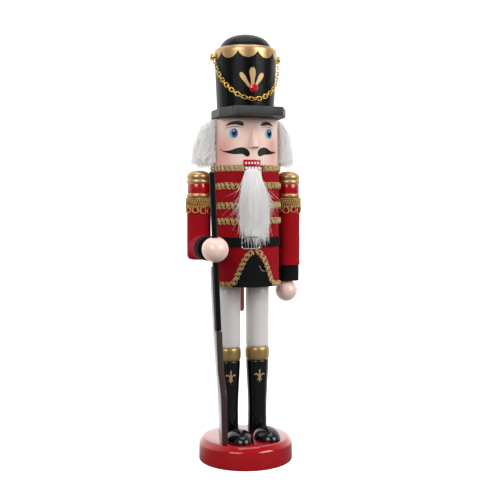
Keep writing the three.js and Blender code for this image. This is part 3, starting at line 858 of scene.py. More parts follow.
def gimp(path, width, radius, pitch=3.8, step=0.26):
    """Interlaced loops of cord along a path of (distance round, height) on a cylinder."""
    lengths = [0.0]
    for (u0, z0), (u1, z1) in zip(path, path[1:]):
        lengths.append(lengths[-1] + math.hypot(u1 - u0, z1 - z0))
    total = lengths[-1]

    def at(s):
        s = min(max(s, 0.0), total)
        for i in range(len(path) - 1):
            if s <= lengths[i + 1] or i == len(path) - 2:
                f = (s - lengths[i]) / max(lengths[i + 1] - lengths[i], 1e-6)
                (u0, z0), (u1, z1) = path[i], path[i + 1]
                norm = max(math.hypot(u1 - u0, z1 - z0), 1e-6)
                return u0 + (u1 - u0) * f, z0 + (z1 - z0) * f, (u1 - u0) / norm, (z1 - z0) / norm

    strands = [(0.43, 1.1, 1.0, 0.0), (0.43, 1.1, -1.0, math.pi * 0.5), (0.24, 0.5, 1.0, 1.0)]
    lines = []
    for across, along, way, phase in strands:
        line = []
        count = int(total / step)
        for i in range(count + 1):
            s = total * i / count
            wave = TURN * s / pitch * way + phase
            jitter = 0.12 * math.sin(s * 1.7 + phase * 5)
            u, z, du, dz = at(s + along * math.cos(wave))
            off = across * width * math.sin(wave) * (1 + jitter)
            depth = 0.3 * math.sin(2 * wave + phase) + 0.05
            line.append(round_point((u - off * dz) / COAT_R, radius + depth, z + off * du))
        lines.append(line)
    return lines


BRAID_WIRE = 0.25
COLLAR_GAP = 0.31  # radians, from the middle of the front to the collar's ends


def coat_braids():
    lift = COAT_R + 0.75
    for row in ("upper", "middle", "lower"):
        for side, sign in SIDES:
            label = f"chest_braid_{row}_{side}"
            z = middle(label).z
            path = [(sign * u, z + 0.25 * math.sin(u * 0.4)) for u in (6.4, 12, 17, 22, 27, 30.8)]
            wires(
                f"chest_gimp_{row}_{side}", gimp(path, 5.2, lift), gold_thread, BRAID_WIRE, stands_for=label,
                slot="gold_braid"
            )
    z = middle("collar_braid").z
    start, end = COLLAR_GAP * COAT_R, (TURN - COLLAR_GAP) * COAT_R
    path = [(start + (end - start) * i / 40, z) for i in range(41)]
    wires(
        "collar_gimp", gimp(path, 4.3, COAT_R + 0.55), gold_thread, BRAID_WIRE, stands_for="collar_braid",
        slot="gold_braid"
    )
    edge = [(0.2, 154.4), (3.2, 153.8), (6.1, 150.6), (8.9, 145.2), (11.8, 138.6)]
    edge += [(14.2, 133.2), (17.8, 131.2), (22.5, 130.9), (29, 130.9)]
    for side, sign in SIDES:
        path = eased([(sign * u, z) for u, z in edge], 4)
        wires(
            f"edge_gimp_{side}", gimp(path, 4.1, lift + (0.15 if sign > 0 else 0)), gold_thread, BRAID_WIRE,
            stands_for=f"coat_edge_braid_{side}", slot="gold_braid"
        )


# ---------------------------------------------------------------- jaw lever and beard
def jaw_lever():
    low, high = span("jaw_lever")
    z = high.z
    outline = [(-23.4, z), (-11, z), (-9.3, z - 7.6), (-4, z - 9.3), (1.2, z - 12.6), (33, z - 59.9)]
    outline += bow(29.5, low.z + 3.5, 3.5, 0, -180, 12)
    outline += [(26, z - 67.3), (0, z - 29.6), (-3, z - 30.6), (-20, z - 30.6), (-23.4, z - 25.6)]
    bm = board(outline, high.x - low.x, 0.9, 4)
    pin = middle("pivot_pin")
    hole = moved(tipped(rod(1.62, -12, 12), math.pi / 2, "Y"), 0, pin.y, pin.z)
    bm = carved(bm, hole)
    piece("jaw_carving", bm, red_gloss, body="jaw", stands_for="jaw_lever", slot="red_gloss", crease=40)
    teeth = []
    for i in range(5):
        u = -5.6 + i * 2.35
        teeth.append([(u - 0.85, z - 1.9), (u + 0.85, z - 1.9), (u + 0.85, z - 0.15), (u - 0.85, z - 0.15)])
    bm = flat_cut(teeth, 0.12, 0, strip=1.0)
    for v in bm.verts:
        v.co = Vector((v.co.x, -(23.42 + v.co.y), v.co.z))
    piece("lower_teeth", tidied(bm, 0.0005), tooth_white, body="jaw", slot="face_paint")


HAIRS = 4400  # strands in the beard, and as many in the hair
HAIR_R = 0.15  # the beard's; the hair of the head is a little thicker


def beard():
    rng = random.Random(11)
    top, tip = 212.6, 158.0
    widths = [(212.6, -7.0, 3.2), (205, -8.4, 5.2), (198.8, -9.2, 7.2), (190, -9.6, 9.2), (183.4, -9.8, 10.2)]
    widths += [(168, -9.6, 11.0), (157, -9.0, 10.6)]

    def sides(z):
        for (z0, a0, b0), (z1, a1, b1) in zip(widths, widths[1:]):
            if z >= z1:
                f = min(max((z0 - z) / (z0 - z1), 0.0), 1.0)
                return a0 + (a1 - a0) * f, b0 + (b1 - b0) * f
        return widths[-1][1:]

    def puff(z):
        f = (top - z) / (top - tip)
        return 1.4 + 3.6 * math.sin(math.pi * min(f * 1.15 + 0.12, 1.0)) ** 0.8

    # The pelt under the hairs: a tapering tongue, thickest in its middle and thin at the sides.
    rows, columns = 22, 16
    bm = bmesh.new()
    bmesh.ops.create_grid(bm, x_segments=columns, y_segments=rows, size=1)
    for v in bm.verts:
        a, b = v.co.x, v.co.y
        z = top - (top - 170) * (1 - (b + 1) / 2)
        left, right = sides(z)
        narrow = 0.8 - 0.35 * (1 - (b + 1) / 2) ** 2
        u = (left + right) / 2 + (right - left) / 2 * a * narrow
        depth = 0.5 + puff(z) * 0.72 * max(0.0, 1 - a * a) ** 0.5
        v.co = Vector((u, depth, z))
    made = bmesh.ops.extrude_face_region(bm, geom=bm.faces[:])["geom"]
    for g in made:
        if isinstance(g, bmesh.types.BMVert):
            g.co.y = 0.25
    bmesh.ops.recalc_face_normals(bm, faces=bm.faces)
    wrapped(bm, lambda z: COAT_R + 0.4, COAT_R + 2)
    for v in bm.verts:
        v.co += Vector((0, noise.noise(v.co * 0.6) * 0.3, 0))
    tidied(bm)
    # The root of the beard sits on the jaw and its lower part hangs against the coat; the pelt is put on no
    # body and stays where it is made.
    pelt = piece("beard_pelt", bm, fur_under, body=None, slot="white_fur", crease=80)
    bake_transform(pelt)

    def hair(index):
        wild = index % 6 == 0
        a = max(-1.0, min(1.0, rng.gauss(0, 0.5)))
        start = max(top - abs(rng.gauss(0, 11)) - rng.uniform(0, 2), 178)
        length = rng.uniform(17, 36) * (0.75 if wild else 1.0)
        end = max(start - length, rng.uniform(155, 166) + 3 * abs(a))
        lock = noise.noise(Vector((a * 4, start * 0.05, 3.3)))
        stray = rng.gauss(0, 0.55) if wild else rng.gauss(0, 0.13)
        lift = rng.random() ** 0.7 + (0.35 if wild else 0)
        line = []
        for k in range(6):
            f = k / 5
            z = start + (end - start) * f
            left, right = sides(z)
            u = (left + right) / 2 + (right - left) / 2 * (a + stray * f * f) + lock * 2.6 * f
            dome = max(0.06, 1 - a * a) ** 0.5
            depth = 0.45 + puff(z) * (0.45 + 0.6 * lift) * dome
            radius = COAT_R + 0.75 + depth * (1 - 0.3 * f * f)
            thick = (1 - 0.8 * f) * (0.7 + 0.5 * rng.random())
            line.append(round_point(u / (COAT_R + 2), radius, z) + (thick,))
        return line

    hairs = [hair(i) for i in range(HAIRS)]
    coat = wires(
        "beard_hairs", hairs, fur, HAIR_R, resolution=0, body=None, stands_for="beard", slot="white_fur"
    )
    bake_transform(coat)


# ---------------------------------------------------------------- head and face
def head_and_nose():
    low, top = HEAD_LOW, HEAD_TOP
    profile = [(0, low), (HEAD_R - 1.2, low)] + bow(HEAD_R - 1.0, low + 1.0, 1.0, -80, 0, 5)
    profile += [(HEAD_R, z) for z in (220, 226, 232, 238, 244)]
    profile += [(HEAD_R, top - 0.4), (HEAD_R - 0.4, top), (0, top)]
    bm = turned(profile, 144)
    piece("head_turning", bm, face_skin, stands_for="head", slot="face_paint", crease=45)

    low, high = span("nose")
    bm = bmesh.new()
    bmesh.ops.create_cube(bm, size=2)
    for v in bm.verts:
        upper, ahead = v.co.z > 0, v.co.y < 0
        half = (1.1, 2.3, 1.9, 3.9)[(0 if ahead else 1) + (0 if upper else 2)]
        y = (-23.9 if upper else low.y - 0.1) if ahead else -22.6
        z = high.z if upper else low.z + (0.7 if ahead else 0)
        v.co = Vector((math.copysign(half, v.co.x), y, z))
    bmesh.ops.bevel(bm, geom=bm.edges[:], offset=0.45, segments=4, profile=0.5, affect="EDGES", material=-1)
    bmesh.ops.recalc_face_normals(bm, faces=bm.faces)
    if bm.calc_volume(signed=True) < 0:
        bmesh.ops.reverse_faces(bm, faces=bm.faces)
    piece("nose_carving", bm, face_skin, stands_for="nose", slot="face_paint", crease=60)


def face_paint():
    def on_face(name, outlines, finish_, lift, rounded=True, **facts):
        shapes = [eased(o, 4, close=True) for o in outlines] if rounded else outlines
        return painted(name, shapes, finish_, lambda z: HEAD_R, HEAD_R, lift, slot="face_paint", **facts)

    moustache_right = [(-28, 227.6), (-23.2, 225.9), (-17.5, 225.9), (-12.5, 227.5), (-7.8, 227.9)]
    moustache_right += [(-4.7, 226.4), (-3.15, 223.9), (-3.7, 221.8), (-5.7, 221.6), (-8.3, 223.2)]
    moustache_right += [(-13.6, 223.2), (-19.3, 224.1), (-24, 225.5)]
    moustache_left = [(2.7, 224.5), (3.8, 226.7), (7.4, 228.1), (10.7, 227.3), (14.7, 225.6), (21.5, 225.4)]
    moustache_left += [(16.4, 223.9), (11.7, 223.2), (7.8, 222.9), (4.6, 221.7), (3.0, 222.4)]
    on_face("moustache", [moustache_right, moustache_left], line_black, 0.02, thickness=0.12)
    brow_right = [(-21.4, 242.9), (-18, 245.2), (-13.5, 246.2), (-9.3, 246.1), (-7.4, 244.4)]
    brow_right += [(-8.1, 242.9), (-12.5, 243.8), (-16.9, 243.9)]
    brow_left = [(5.0, 243.4), (6.2, 245.4), (9.3, 246.2), (13.4, 245.4), (16.4, 243.1)]
    brow_left += [(11.7, 243.9), (7.4, 243.2)]
    on_face("brows", [brow_right, brow_left], line_black, 0.02, thickness=0.1)
    lids = []
    for line in (
        [(-22.4, 241.2), (-19, 242.1), (-14.6, 242.4), (-10.4, 242.3), (-7.4, 241.7)],
        [(5.4, 241.7), (8.0, 242.4), (10.9, 242.6), (14.5, 242.0), (16.9, 241.2)]
    ):
        stroke = eased(line, 3)
        last = len(stroke) - 1
        lid = []
        for i, (u, z) in enumerate(stroke):
            lid.append(round_point(u / HEAD_R, HEAD_R + 0.02, z) + (0.35 + math.sin(math.pi * i / last),))
        lids.append(lid)
    wires("lid_lines", lids, line_black, 0.17, slot="face_paint")
    eyes = (("right", (-14.4, 237.9), -20.6, -9.8), ("left", (12.2, 237.9), 6.6, 16.8))
    for side, centre, left, right in eyes:
        cu, cz = centre
        inner, outer = (left + cu) / 2, (cu + right) / 2
        white = [(left, 238.0), (inner, 241.0), (cu, 241.7), (outer, 241.0), (right, 238.2)]
        white += [(outer, 235.2), (cu, 234.4), (inner, 235.0)]
        on_face(f"eye_white_{side}", [white], eye_white, 0.02, thickness=0.04)

        def disc(du, dz, ru, rz):
            angles = [TURN * k / 24 for k in range(24)]
            return [(cu + du + ru * math.cos(a), cz + dz + rz * math.sin(a)) for a in angles]

        for part, shape, colour, lift, thickness in (
            ("iris_light", disc(-0.5, 0.0, 3.5, 3.5), eye_light, 0.09, 0.04),
            ("iris", disc(0.5, 0.0, 2.6, 3.3), eye_blue, 0.16, 0.04),
            ("pupil", disc(0.4, 0.3, 1.6, 2.1), eye_dark, 0.23, 0.04),
            ("glint", disc(0.1, 1.5, 0.45, 0.5), tooth_white, 0.3, 0.03)
        ):
            on_face(f"eye_{part}_{side}", [shape], colour, lift, rounded=False, thickness=thickness)
    low = HEAD_LOW + 0.1
    mouth = [(-7.6, low), (4.6, low), (4.6, low + 3.9), (4.3, low + 4.1), (-7.3, low + 4.1)]
    mouth.append((-7.6, low + 3.9))
    on_face("mouth_red", [mouth], lip_red, 0.02, rounded=False, thickness=0.5)
    teeth = []
    for i in range(5):
        u = -5.7 + i * 2.1
        tooth = [(-0.6, 1.1), (0.6, 1.1), (0.6, 2.3), (0, 2.7), (-0.6, 2.3)]
        teeth.append([(u + du, low + dz) for du, dz in tooth])
    on_face("upper_teeth", teeth, tooth_white, 0.55, rounded=False, thickness=0.1)


# ---------------------------------------------------------------- hair
def hair():
    rng = random.Random(5)
    low, top = 215.0, BRIM_LOW - 0.4
    profile = [(23.9, low + 1.5), (28.6, low + 1.2), (33.2, low + 4), (34.2, 225), (32.6, 236), (30.4, 243)]
    profile = eased(profile + [(27.2, top - 1), (23.9, top - 0.3)], 4)
    bm = bmesh.new()
    start, end = 1.52, TURN - 1.52
    verts, _ = chain_of(bm, [round_point(start, r, z) for r, z in profile], close=True)
    bm.faces.new(verts)
    # Angles here grow to the figure's left, the same way as a positive turn about the upright axis.
    bmesh.ops.spin(bm, geom=bm.faces[:], cent=(0, 0, 0), axis=(0, 0, 1), angle=end - start, steps=70)
    tidied(bm)
    for v in bm.verts:
        side = Vector((v.co.x, v.co.y, 0))
        if side.length > 25:
            lump = noise.noise(v.co * 0.16) * 1.5 + noise.noise(v.co * 0.55) * 0.5
            v.co += side.normalized() * lump
    piece("hair_pelt", bm, fur_under, slot="white_fur", crease=80)

    def strand():
        angle = rng.uniform(1.3, TURN - 1.3)
        edge = min(angle - 1.3, TURN - 1.3 - angle)
        z0 = rng.uniform(218, top)
        full = min(1.0, 0.3 + edge / 0.45)
        stand = rng.uniform(6.5, 15.5) * full * min(1.0, 0.7 + (top - z0) / 40)
        length = rng.uniform(6, 22)
        lock = noise.noise(Vector((angle * 4, z0 * 0.11, 1.7)))
        drift = lock * 0.14 + rng.gauss(0, 0.05)
        z_end = max(z0 - length, 212.9 + rng.uniform(0, 8) ** 1.1)
        curl = rng.gauss(0, 0.5)
        line = []
        for k in range(6):
            f = k / 5
            out = stand * math.sin(math.pi / 2 * min(1.0, f * 1.3)) ** 0.8 + lock * 1.4 * f + curl * f * f
            z = min(z0 - (z0 - z_end) * f**1.5, top - 0.2)
            radius = max(24.0, 24.1 + out)
            line.append(round_point(angle + drift * f, radius, z) + (1 - 0.78 * f,))
        return line

    hairs = [strand() for _ in range(HAIRS)]
    wires("hair_strands", hairs, fur, 0.16, resolution=0, stands_for="hair_fur", slot="white_fur")


# ---------------------------------------------------------------- hat
CROWN_LINE = [(20.75, BRIM_TOP + 0.3), (21.5, 272), (22.3, 291), (22.6, 296.0), (22.56, 297.2)]
CROWN_LINE += [(22.32, 298.2), (21.8, 299.1), (21.0, 299.7), (20.1, 300.0), (19.3, 300.15)]


def crown_r(z):
    return radius_on(CROWN_LINE, z)


def hat_crown():
    profile = [(0, BRIM_TOP + 0.05), (20.3, BRIM_TOP + 0.05)] + CROWN_LINE + [(18.9, 300.4)]
    dome = [(18.6, 300.9), (17.9, 302.4), (15.2, 305.7), (10.4, 308.4), (4.8, HAT_TOP - 0.25), (0, HAT_TOP)]
    profile += eased(dome, 4)
    bm = turned(profile, 128)
    for sign in (1, -1):
        hole = moved(tipped(rod(1.2, -4, 4, 24), math.pi / 2, "Y"), sign * 20.5, 0, middle("hat_stud_left").z)
        bm = carved(bm, hole)
    piece("hat_turning", bm, hat_black, stands_for="hat_crown", slot="hat_black", crease=45)

    rolled, lobes, top = 22.3, 10, 300.1
    first = math.radians(-172.3) * rolled
    bm = bmesh.new()
    bmesh.ops.create_grid(bm, x_segments=28 * lobes, y_segments=14, size=1)
    for v in bm.verts:
        f, t = (v.co.x + 1) / 2, (v.co.y + 1) / 2
        foot = 296.2 - 5.4 * math.sin(math.pi * ((f * lobes) % 1.0)) ** 0.6
        v.co = Vector((first + f * (TURN * rolled - 0.02), 0.02, foot + (top - foot) * t))
    thickened(bm, bm.faces[:], y=0.06)
    wrapped(bm, crown_r, rolled)
    piece("hat_scallop_band", tidied(bm, 0.0005), gold_paint, slot="hat_black", crease=60)

    def petal(tip, foot, width):
        (u1, z1), (u0, z0) = tip, foot
        length = math.hypot(u1 - u0, z1 - z0)
        du, dz = (u1 - u0) / length, (z1 - z0) / length
        shape = [(0, 0.42), (0.3, 0.62), (0.65, 0.98), (0.86, 0.86), (0.97, 0.5), (1.0, 0.0)]
        shape += [(s, -w) for s, w in reversed(shape[:-1])]
        outline = []
        for s, w in shape:
            outline.append((u0 + du * length * s + dz * w * width, z0 + dz * length * s - du * w * width))
        return eased(outline, 3, close=True)

    petals = [petal((-0.7, 283.9), (-0.5, 271.5), 2.3)]
    petals += [petal((-9.4, 280.2), (-2.6, 270.2), 1.75), petal((7.4, 280.2), (1.7, 271.2), 1.75)]
    painted("hat_petals", petals, pale_gold, crown_r, 22, 0.02, slot="hat_black")


def hat_brim():
    low, high = BRIM_LOW, BRIM_TOP
    bm = bmesh.new()
    rear = bow(0, 0, 24.9, 0, 180, 40)
    outline = [(-16.4, -39), (16.4, -39), (24.3, -20)] + rear + [(-24.3, -20)]
    face = bm.faces.new([bm.verts.new((x, y, low)) for x, y in outline])
    thickened(bm, [face], z=high - low)
    bmesh.ops.recalc_face_normals(bm, faces=bm.faces)
    soften(bm, 0.45, 3, 20)
    bmesh.ops.triangulate(bm, faces=[f for f in bm.faces if len(f.verts) > 4])
    sliced(bm, 0, 1.5)
    sliced(bm, 1, 1.5)
    for v in bm.verts:
        away = Vector((v.co.x, v.co.y, 0))
        nick = max(0.0, noise.noise(v.co * 0.45 + Vector((9, 4, 2))) - 0.35) * 1.1
        if abs(v.co.z - low) < 0.6 or abs(v.co.z - high) < 0.6:
            v.co -= away.normalized() * nick
    piece("brim_board", bm, brim_board, stands_for="hat_brim", slot="brim_board", crease=35)


def hat_gem():
    mid, high = middle("hat_gem"), span("hat_gem")
    bm = turned([(0, 0), (3.2, 0), (3.25, 0.7), (2.5, 1.5), (1.5, 1.95), (0, 2.0)], 10)
    tipped(bm, math.pi / 2, "X")
    moved(bm, 0, high[1].y + 0.1, mid.z)
    piece("gem_stone", bm, red_stone, stands_for="hat_gem", slot="gem_red", crease=8)


def studs_and_chain():
    for side, sign in SIDES:
        z = middle(f"hat_stud_{side}").z
        stem = [(0, -4.5), (1, -4.5), (1, 1.6)]
        dome = [(2.7, 1.5), (2.95, 1.9)] + eased([(2.8, 2.5), (2.1, 3.4), (1.1, 3.9), (0, 4.0)], 4)
        bm = turned(stem + dome, 40)
        tipped(bm, sign * math.pi / 2, "Y")
        moved(bm, sign * 22.5, 0, z)
        piece(f"stud_{side}", bm, stud_gilt, stands_for=f"hat_stud_{side}", slot="gold_metal", crease=40)

    stud_z = middle("hat_stud_left").z
    drop = 31.4  # from the studs down to the lowest link
    reach = 1.52  # radians, from the middle of the front to each end
    path = []
    for i in range(401):
        turn = -reach + 2 * reach * i / 400
        f = max(0.0, math.cos(turn / reach * math.pi / 2)) ** 0.8
        z = stud_z - 0.6 - (drop - 0.6) * f
        path.append(Vector(round_point(turn, crown_r(z) + 1.25 + (1.0 - f) * 0.5, z)))
    lengths = [0.0]
    for a, b in zip(path, path[1:]):
        lengths.append(lengths[-1] + (b - a).length)
    count = 36
    links = []
    for i in range(count):
        s = lengths[-1] * (i + 0.5) / count
        k = next(j for j in range(1, len(path)) if lengths[j] >= s)
        here, ahead = path[k], (path[k] - path[k - 1]).normalized()
        out = Vector((here.x, here.y, 0)).normalized()
        out = (out - ahead * out.dot(ahead)).normalized()
        side = ahead.cross(out)
        lie = math.radians(14 if i % 2 else -66)
        across = side * math.cos(lie) + out * math.sin(lie)
        long_, wide = 2.2, 1.4
        link = []
        for q in range(14):
            a = TURN * q / 14
            link.append(tuple(here + ahead * long_ * math.cos(a) + across * wide * math.sin(a)))
        links.append(link)
    wires(
        "chain_links", links, brass, 0.27, closed=True, resolution=1, body="chain", stands_for="hat_chain",
        slot="gold_metal"
    )


# ---------------------------------------------------------------- arms, sleeves and rifle
LEFT_FIST = middle("hand_left").z
SLEEVE_R, CORE_R, CUFF_R = 8.6, 7.65, 8.05
RIFLE_HAND = (-32.0, -40.0)
RIFLE_LEAN, BARREL_SLOPE, BARREL_R, BARREL_LOW, BARREL_HIGH = 0.079, 0.17, 2.05, 84.3, 193.4
RIFLE_FOOT = (-20.9, BASE_TOP)


def shoulder_line(bottom):
    """An arm's outline: the core in the sleeve, gold ring, red ring, gold ring and gold dome."""
    line = [(0, bottom), (6.4, bottom), (7.4, bottom + 0.6), (7.6, bottom + 1.4), (7.6, 192.6), (8.1, 192.8)]
    line += eased([(8.4, 193.1), (8.62, 193.9), (8.62, 194.8), (8.35, 195.5), (8.05, 195.8)], 3)
    line += eased([(8.15, 196.2), (8.3, 197.5), (8.35, 199.2), (8.3, 201), (8.15, 202.3), (8.0, 202.7)], 3)
    line += eased([(8.3, 203.0), (8.62, 203.7), (8.62, 204.8), (8.35, 205.5), (7.95, 205.9)], 3)
    cap = [(8.1, 206.3), (8.5, 207.3), (8.4, 208.7), (7.4, 210.3), (5.6, 211.5), (3.0, 212.2), (0, 212.4)]
    return line + eased(cap, 4)


def arms():
    for side, sign in SIDES:
        bottom = span(f"arm_{side}")[0].z if side == "right" else 130.9
        bm = turned(shoulder_line(bottom), 72)
        by_height(bm, [(192.5, 0), (195.75, 1), (202.65, 2), (999, 1)])
        if side == "left":
            bm = carved(bm, rod(2, LEFT_FIST - 1, 133, 24), "UNION")
        else:
            bm = carved(bm, forward(rod(2.3, -2.4, 13, 24), 0, 0, ELBOW))
        moved(bm, sign * ARM.x, ARM.y)
        piece(
            f"arm_turning_{side}", bm, [bare_wood, gold_paint, red_gloss], stands_for=f"arm_{side}",
            slot="arm_paint", crease=45
        )


def felt_tube(inner, outer, low, high, lumps=0.12, flare=0.0):
    rows = max(4, int((high - low) / 2.0))
    outside = [(outer, low + (high - low) * i / rows) for i in range(rows + 1)]
    profile = [(inner, low)] + outside + [(inner, high)]
    bm = turned(profile, 72, close=True)
    for v in bm.verts:
        side = Vector((v.co.x, v.co.y, 0))
        if side.length > (inner + outer) / 2:
            bulge = noise.noise(v.co * 0.16) * lumps + noise.noise(v.co * 0.7) * lumps * 0.35
            v.co += side.normalized() * (bulge + flare * max(0.0, 1 - (v.co.z - low) / 6) ** 2)
    return bm


def sleeves_and_cuffs():
    low, high = heights("sleeve_left")
    bm = moved(felt_tube(CORE_R, SLEEVE_R, low, high, 0.16, 0.25), ARM.x, ARM.y)
    cloth = piece("sleeve_cloth_left", bm, red_felt, stands_for="sleeve_left", slot="red_felt", crease=60)
    low, high = heights("cuff_left")
    bm = moved(felt_tube(CORE_R, CUFF_R, low, high, 0.1), ARM.x, ARM.y)
    cloth = piece("cuff_cloth_left", bm, black_felt, stands_for="cuff_left", slot="black_felt", crease=60)

    low, high = heights("sleeve_right")
    upper = [(0, low), (5.5, low), (6.9, low + 0.35), (8.0, low + 1.2), (8.5, low + 2.3)]
    upper += [(SLEEVE_R, z) for z in range(152, 189, 4)] + [(SLEEVE_R, high), (0, high)]
    stub_front = span("sleeve_right")[0].y - ARM.y
    outside = carved(turned(upper, 72), forward(rod(SLEEVE_R, 0, -stub_front, 72), 0, 0, ELBOW), "UNION")
    inside = carved(
        rod(CORE_R + 0.15, low + 2.2, 205, 72), forward(rod(CORE_R + 0.15, 0, 36, 72), 0, 0, ELBOW), "UNION"
    )
    bm = carved(outside, inside)
    moved(bm, -ARM.x, ARM.y)
    cloth = piece("sleeve_cloth_right", bm, red_felt, stands_for="sleeve_right", slot="red_felt", crease=50)
    low, high = span("cuff_right")
    length = high.y - low.y
    bm = felt_tube(7.45, CUFF_R + 0.4, 0, length, 0.1)
    forward(bm, -ARM.x, high.y, ELBOW)
    cloth = piece("cuff_cloth_right", bm, black_felt, stands_for="cuff_right", slot="black_felt", crease=60)


def fringes():
    for side, sign in SIDES:
        low, high = heights(f"epaulette_fringe_{side}")
        centre = (sign * ARM.x, ARM.y)
        rng = random.Random(21 + sign)
        lines = []
        loops = 34
        line = []
        for i in range(loops * 10):
            f = i / (loops * 10)
            wave = TURN * f * loops
            reach = 0.5 * (high - low) - 0.2
            z = (high + low) / 2 + reach * math.sin(wave) * (1 + 0.06 * math.sin(wave * 0.31))
            angle = TURN * f + 0.035 * math.sin(2 * wave)
            line.append(round_point(angle, SLEEVE_R + 0.5 + 0.25 * math.cos(wave), z, centre))
        lines.append(line)
        for z, lift in ((high - 0.8, 0.75), (high - 2.0, 0.7), (low + 1.1, 0.85)):
            ring = []
            for i in range(160):
                wave = TURN * i / 160
                wobble = 0.28 * math.sin(wave * 24)
                radius = SLEEVE_R + lift + 0.2 * math.cos(wave * 24)
                ring.append(round_point(wave, radius, z + wobble, centre))
            lines.append(ring)
        drops = 10
        for i in range(drops):
            start = TURN * (i + 0.15) / drops + rng.uniform(-0.03, 0.03)
            wide = TURN / drops * 0.46
            deep = 4.6 + rng.uniform(-0.7, 0.9)
            for shift, lift in ((0.0, 0.85), (0.05, 0.55)):
                loop = []
                for k in range(22):
                    a = TURN * k / 22
                    tall = low + 0.9 - deep / 2 * (1 - math.cos(a))
                    pinch = 0.45 + 0.55 * math.sin(a / 2) ** 1.2
                    angle = start + shift + wide * math.sin(a) * pinch
                    loop.append(round_point(angle, SLEEVE_R + lift + 0.15 * math.sin(3 * a), tall, centre))
                lines.append(loop)
        wires(
            f"epaulette_threads_{side}", lines, fringe_thread, 0.23, closed=True,
            stands_for=f"epaulette_fringe_{side}", slot="gold_braid"
        )


def hands():
    bm = ball(8.15, 8.15, 8.15)
    wrist = 7.2  # from the middle of the hand up to its flat
    fist = heights("hand_left")[1] - wrist
    bm = carved(bm, block(30, 30, 20, 0, 0, wrist + 10))
    soften(bm, 0.25, 2, 40)
    moved(bm, middle("hand_left").x, ARM.y, fist)
    piece("fist_left", bm, hand_skin, stands_for="hand_left", slot="flesh_gloss", crease=40)
    bm = ball(9.2, 9.2, 8.8)
    back = span("hand_right")[1].y
    bm = carved(bm, block(30, 20, 30, 0, back - RIFLE_HAND[1] + 10, 0))
    bm = carved(bm, moved(tipped(rod(2.3, -30, -3.6, 24), math.pi / 2, "X"), -ARM.x - RIFLE_HAND[0], 0, 0))
    moved(bm, RIFLE_HAND[0], RIFLE_HAND[1], ELBOW)
    bm = carved(bm, barrel_shape(2.35, 60))
    soften(bm, 0.2, 2, 50)
    piece("fist_right", bm, hand_skin, stands_for="hand_right", slot="flesh_gloss", crease=40)


def barrel_y(height):
    return RIFLE_HAND[1] - BARREL_SLOPE * (height - (ELBOW - BASE_TOP))


def leaned(bm):
    tipped(bm, math.atan(-RIFLE_LEAN), "Y")
    return moved(bm, RIFLE_FOOT[0], 0, RIFLE_FOOT[1])


def barrel_shape(radius, low, crown=0.0):
    length = (BARREL_HIGH - low) / math.cos(math.atan(BARREL_SLOPE))
    profile = [(0, 0), (radius, 0), (radius, length - crown)]
    profile += [(radius - crown, length), (0, length)] if crown else [(0, length)]
    bm = turned(profile, 48)
    tipped(bm, math.atan(BARREL_SLOPE), "X")
    moved(bm, 0, barrel_y(low), low)
    return leaned(bm)


def rifle():
    piece(
        "barrel_rod", barrel_shape(BARREL_R, BARREL_LOW, 0.35), rifle_black, stands_for="rifle_barrel",
        slot="rifle_black", crease=40
    )
    behind = BARREL_R + 0.4

    def fore(height, offset):
        return (barrel_y(height) + offset, height)

    outline = [(-22.6, 0.5), (-12.4, 0.5), (-16, 22), (-19.2, 36), (-20, 45)]
    outline += [fore(54, 5.6), fore(62, 6.6), fore(78, 8.6), fore(98, 9.8), fore(112, 9.3), fore(126, 8.6)]
    outline += [fore(129, 6.6), fore(129, behind), fore(BARREL_LOW - 1, behind)]
    outline += [fore(BARREL_LOW - 1, -BARREL_R), fore(54, -BARREL_R), (-31, 38)]
    bm = board(outline, 4.3, 0.35, 3)
    piece("stock_board", leaned(bm), rifle_brown, stands_for="rifle_stock", slot="rifle_brown", crease=40)


def carried_over():
    """CAD nodes whose shape is right: turned wood inside the figure, the steel pin and the dark forearm."""
    wooden = ("torso", "neck_dowel", "hat_dowel", "shoulder_dowel_left", "shoulder_dowel_right")
    looks = {label: bare_wood for label in wooden} | {"forearm_right": black_felt, "pivot_pin": steel}
    for label, look in looks.items():
        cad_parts[label].data.materials.clear()
        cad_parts[label].data.materials.append(look)


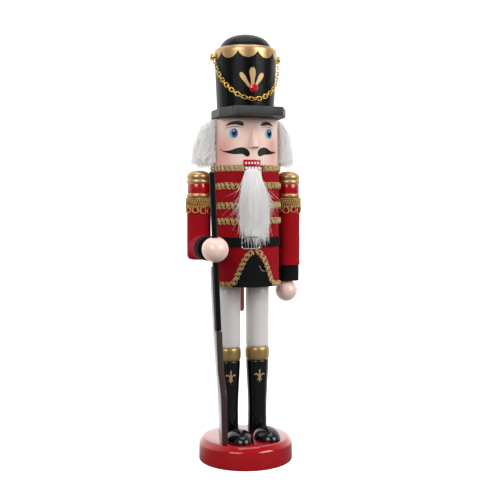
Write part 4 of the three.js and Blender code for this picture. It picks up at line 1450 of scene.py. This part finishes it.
# ---------------------------------------------------------------- studio
def studio():
    bm = bmesh.new()
    bmesh.ops.create_grid(bm, x_segments=2, y_segments=2, size=4)
    mesh = bpy.data.meshes.new("floor_sheet")
    bm.to_mesh(mesh)
    bm.free()
    mesh.materials.append(floor_material())
    floor = bpy.data.objects.new("floor_sheet", mesh)
    bpy.context.scene.collection.objects.link(floor)

    world = bpy.data.worlds.new("studio_room")
    bpy.context.scene.world = world
    world.use_nodes = True
    tree = world.node_tree
    back = tree.nodes["Background"]
    facing = node(tree, "ShaderNodeSeparateXYZ", {0: node(tree, "ShaderNodeTexCoord").outputs["Generated"]})
    room = ranged(tree, facing.outputs[1], -0.42, 0.65, 0.16, 1.5, smooth=True)
    seen = node(tree, "ShaderNodeLightPath").outputs["Is Camera Ray"]
    level = sums(tree, "MAXIMUM", room, seen)
    tree.links.new(level, back.inputs["Strength"])
    back.inputs["Color"].default_value = (1, 1, 1, 1)

    for name, place, size, power in (
        ("softbox_left", (-0.8, -0.95, 0.7), 0.75, 9.6), ("softbox_right", (0.75, -0.9, 0.65), 0.75, 11.6),
        ("softbox_top", (0.0, -0.15, 1.2), 0.8, 5.0)
    ):
        light = bpy.data.lights.new(name, "AREA")
        light.energy = power
        light.size = size
        lamp = bpy.data.objects.new(name, light)
        lamp.location = place
        aim = Vector((0, 0, 0.16)) - Vector(place)
        lamp.rotation_euler = aim.to_track_quat("-Z", "Y").to_euler()
        bpy.context.scene.collection.objects.link(lamp)

    lens = bpy.data.cameras.new("camera")
    lens.lens = 60.9
    lens.sensor_width = 36
    lens.clip_start = 0.01
    camera = bpy.data.objects.new("camera", lens)
    camera.location = (-0.1605, -0.5989, 0.190)
    aim = Vector((0.00319, -0.00085, 0.1544)) - camera.location
    camera.rotation_euler = aim.to_track_quat("-Z", "Y").to_euler()
    bpy.context.scene.collection.objects.link(camera)
    bpy.context.scene.camera = camera
    bpy.context.scene.view_settings.view_transform = "Standard"


studio()
base_disc()
legs()
toe_caps()
boot_motifs()
coat_pieces()
belt_and_buckle()
coat_braids()
jaw_lever()
beard()
head_and_nose()
face_paint()
hair()
hat_crown()
hat_brim()
hat_gem()
studs_and_chain()
arms()
sleeves_and_cuffs()
fringes()
hands()
rifle()
carried_over()
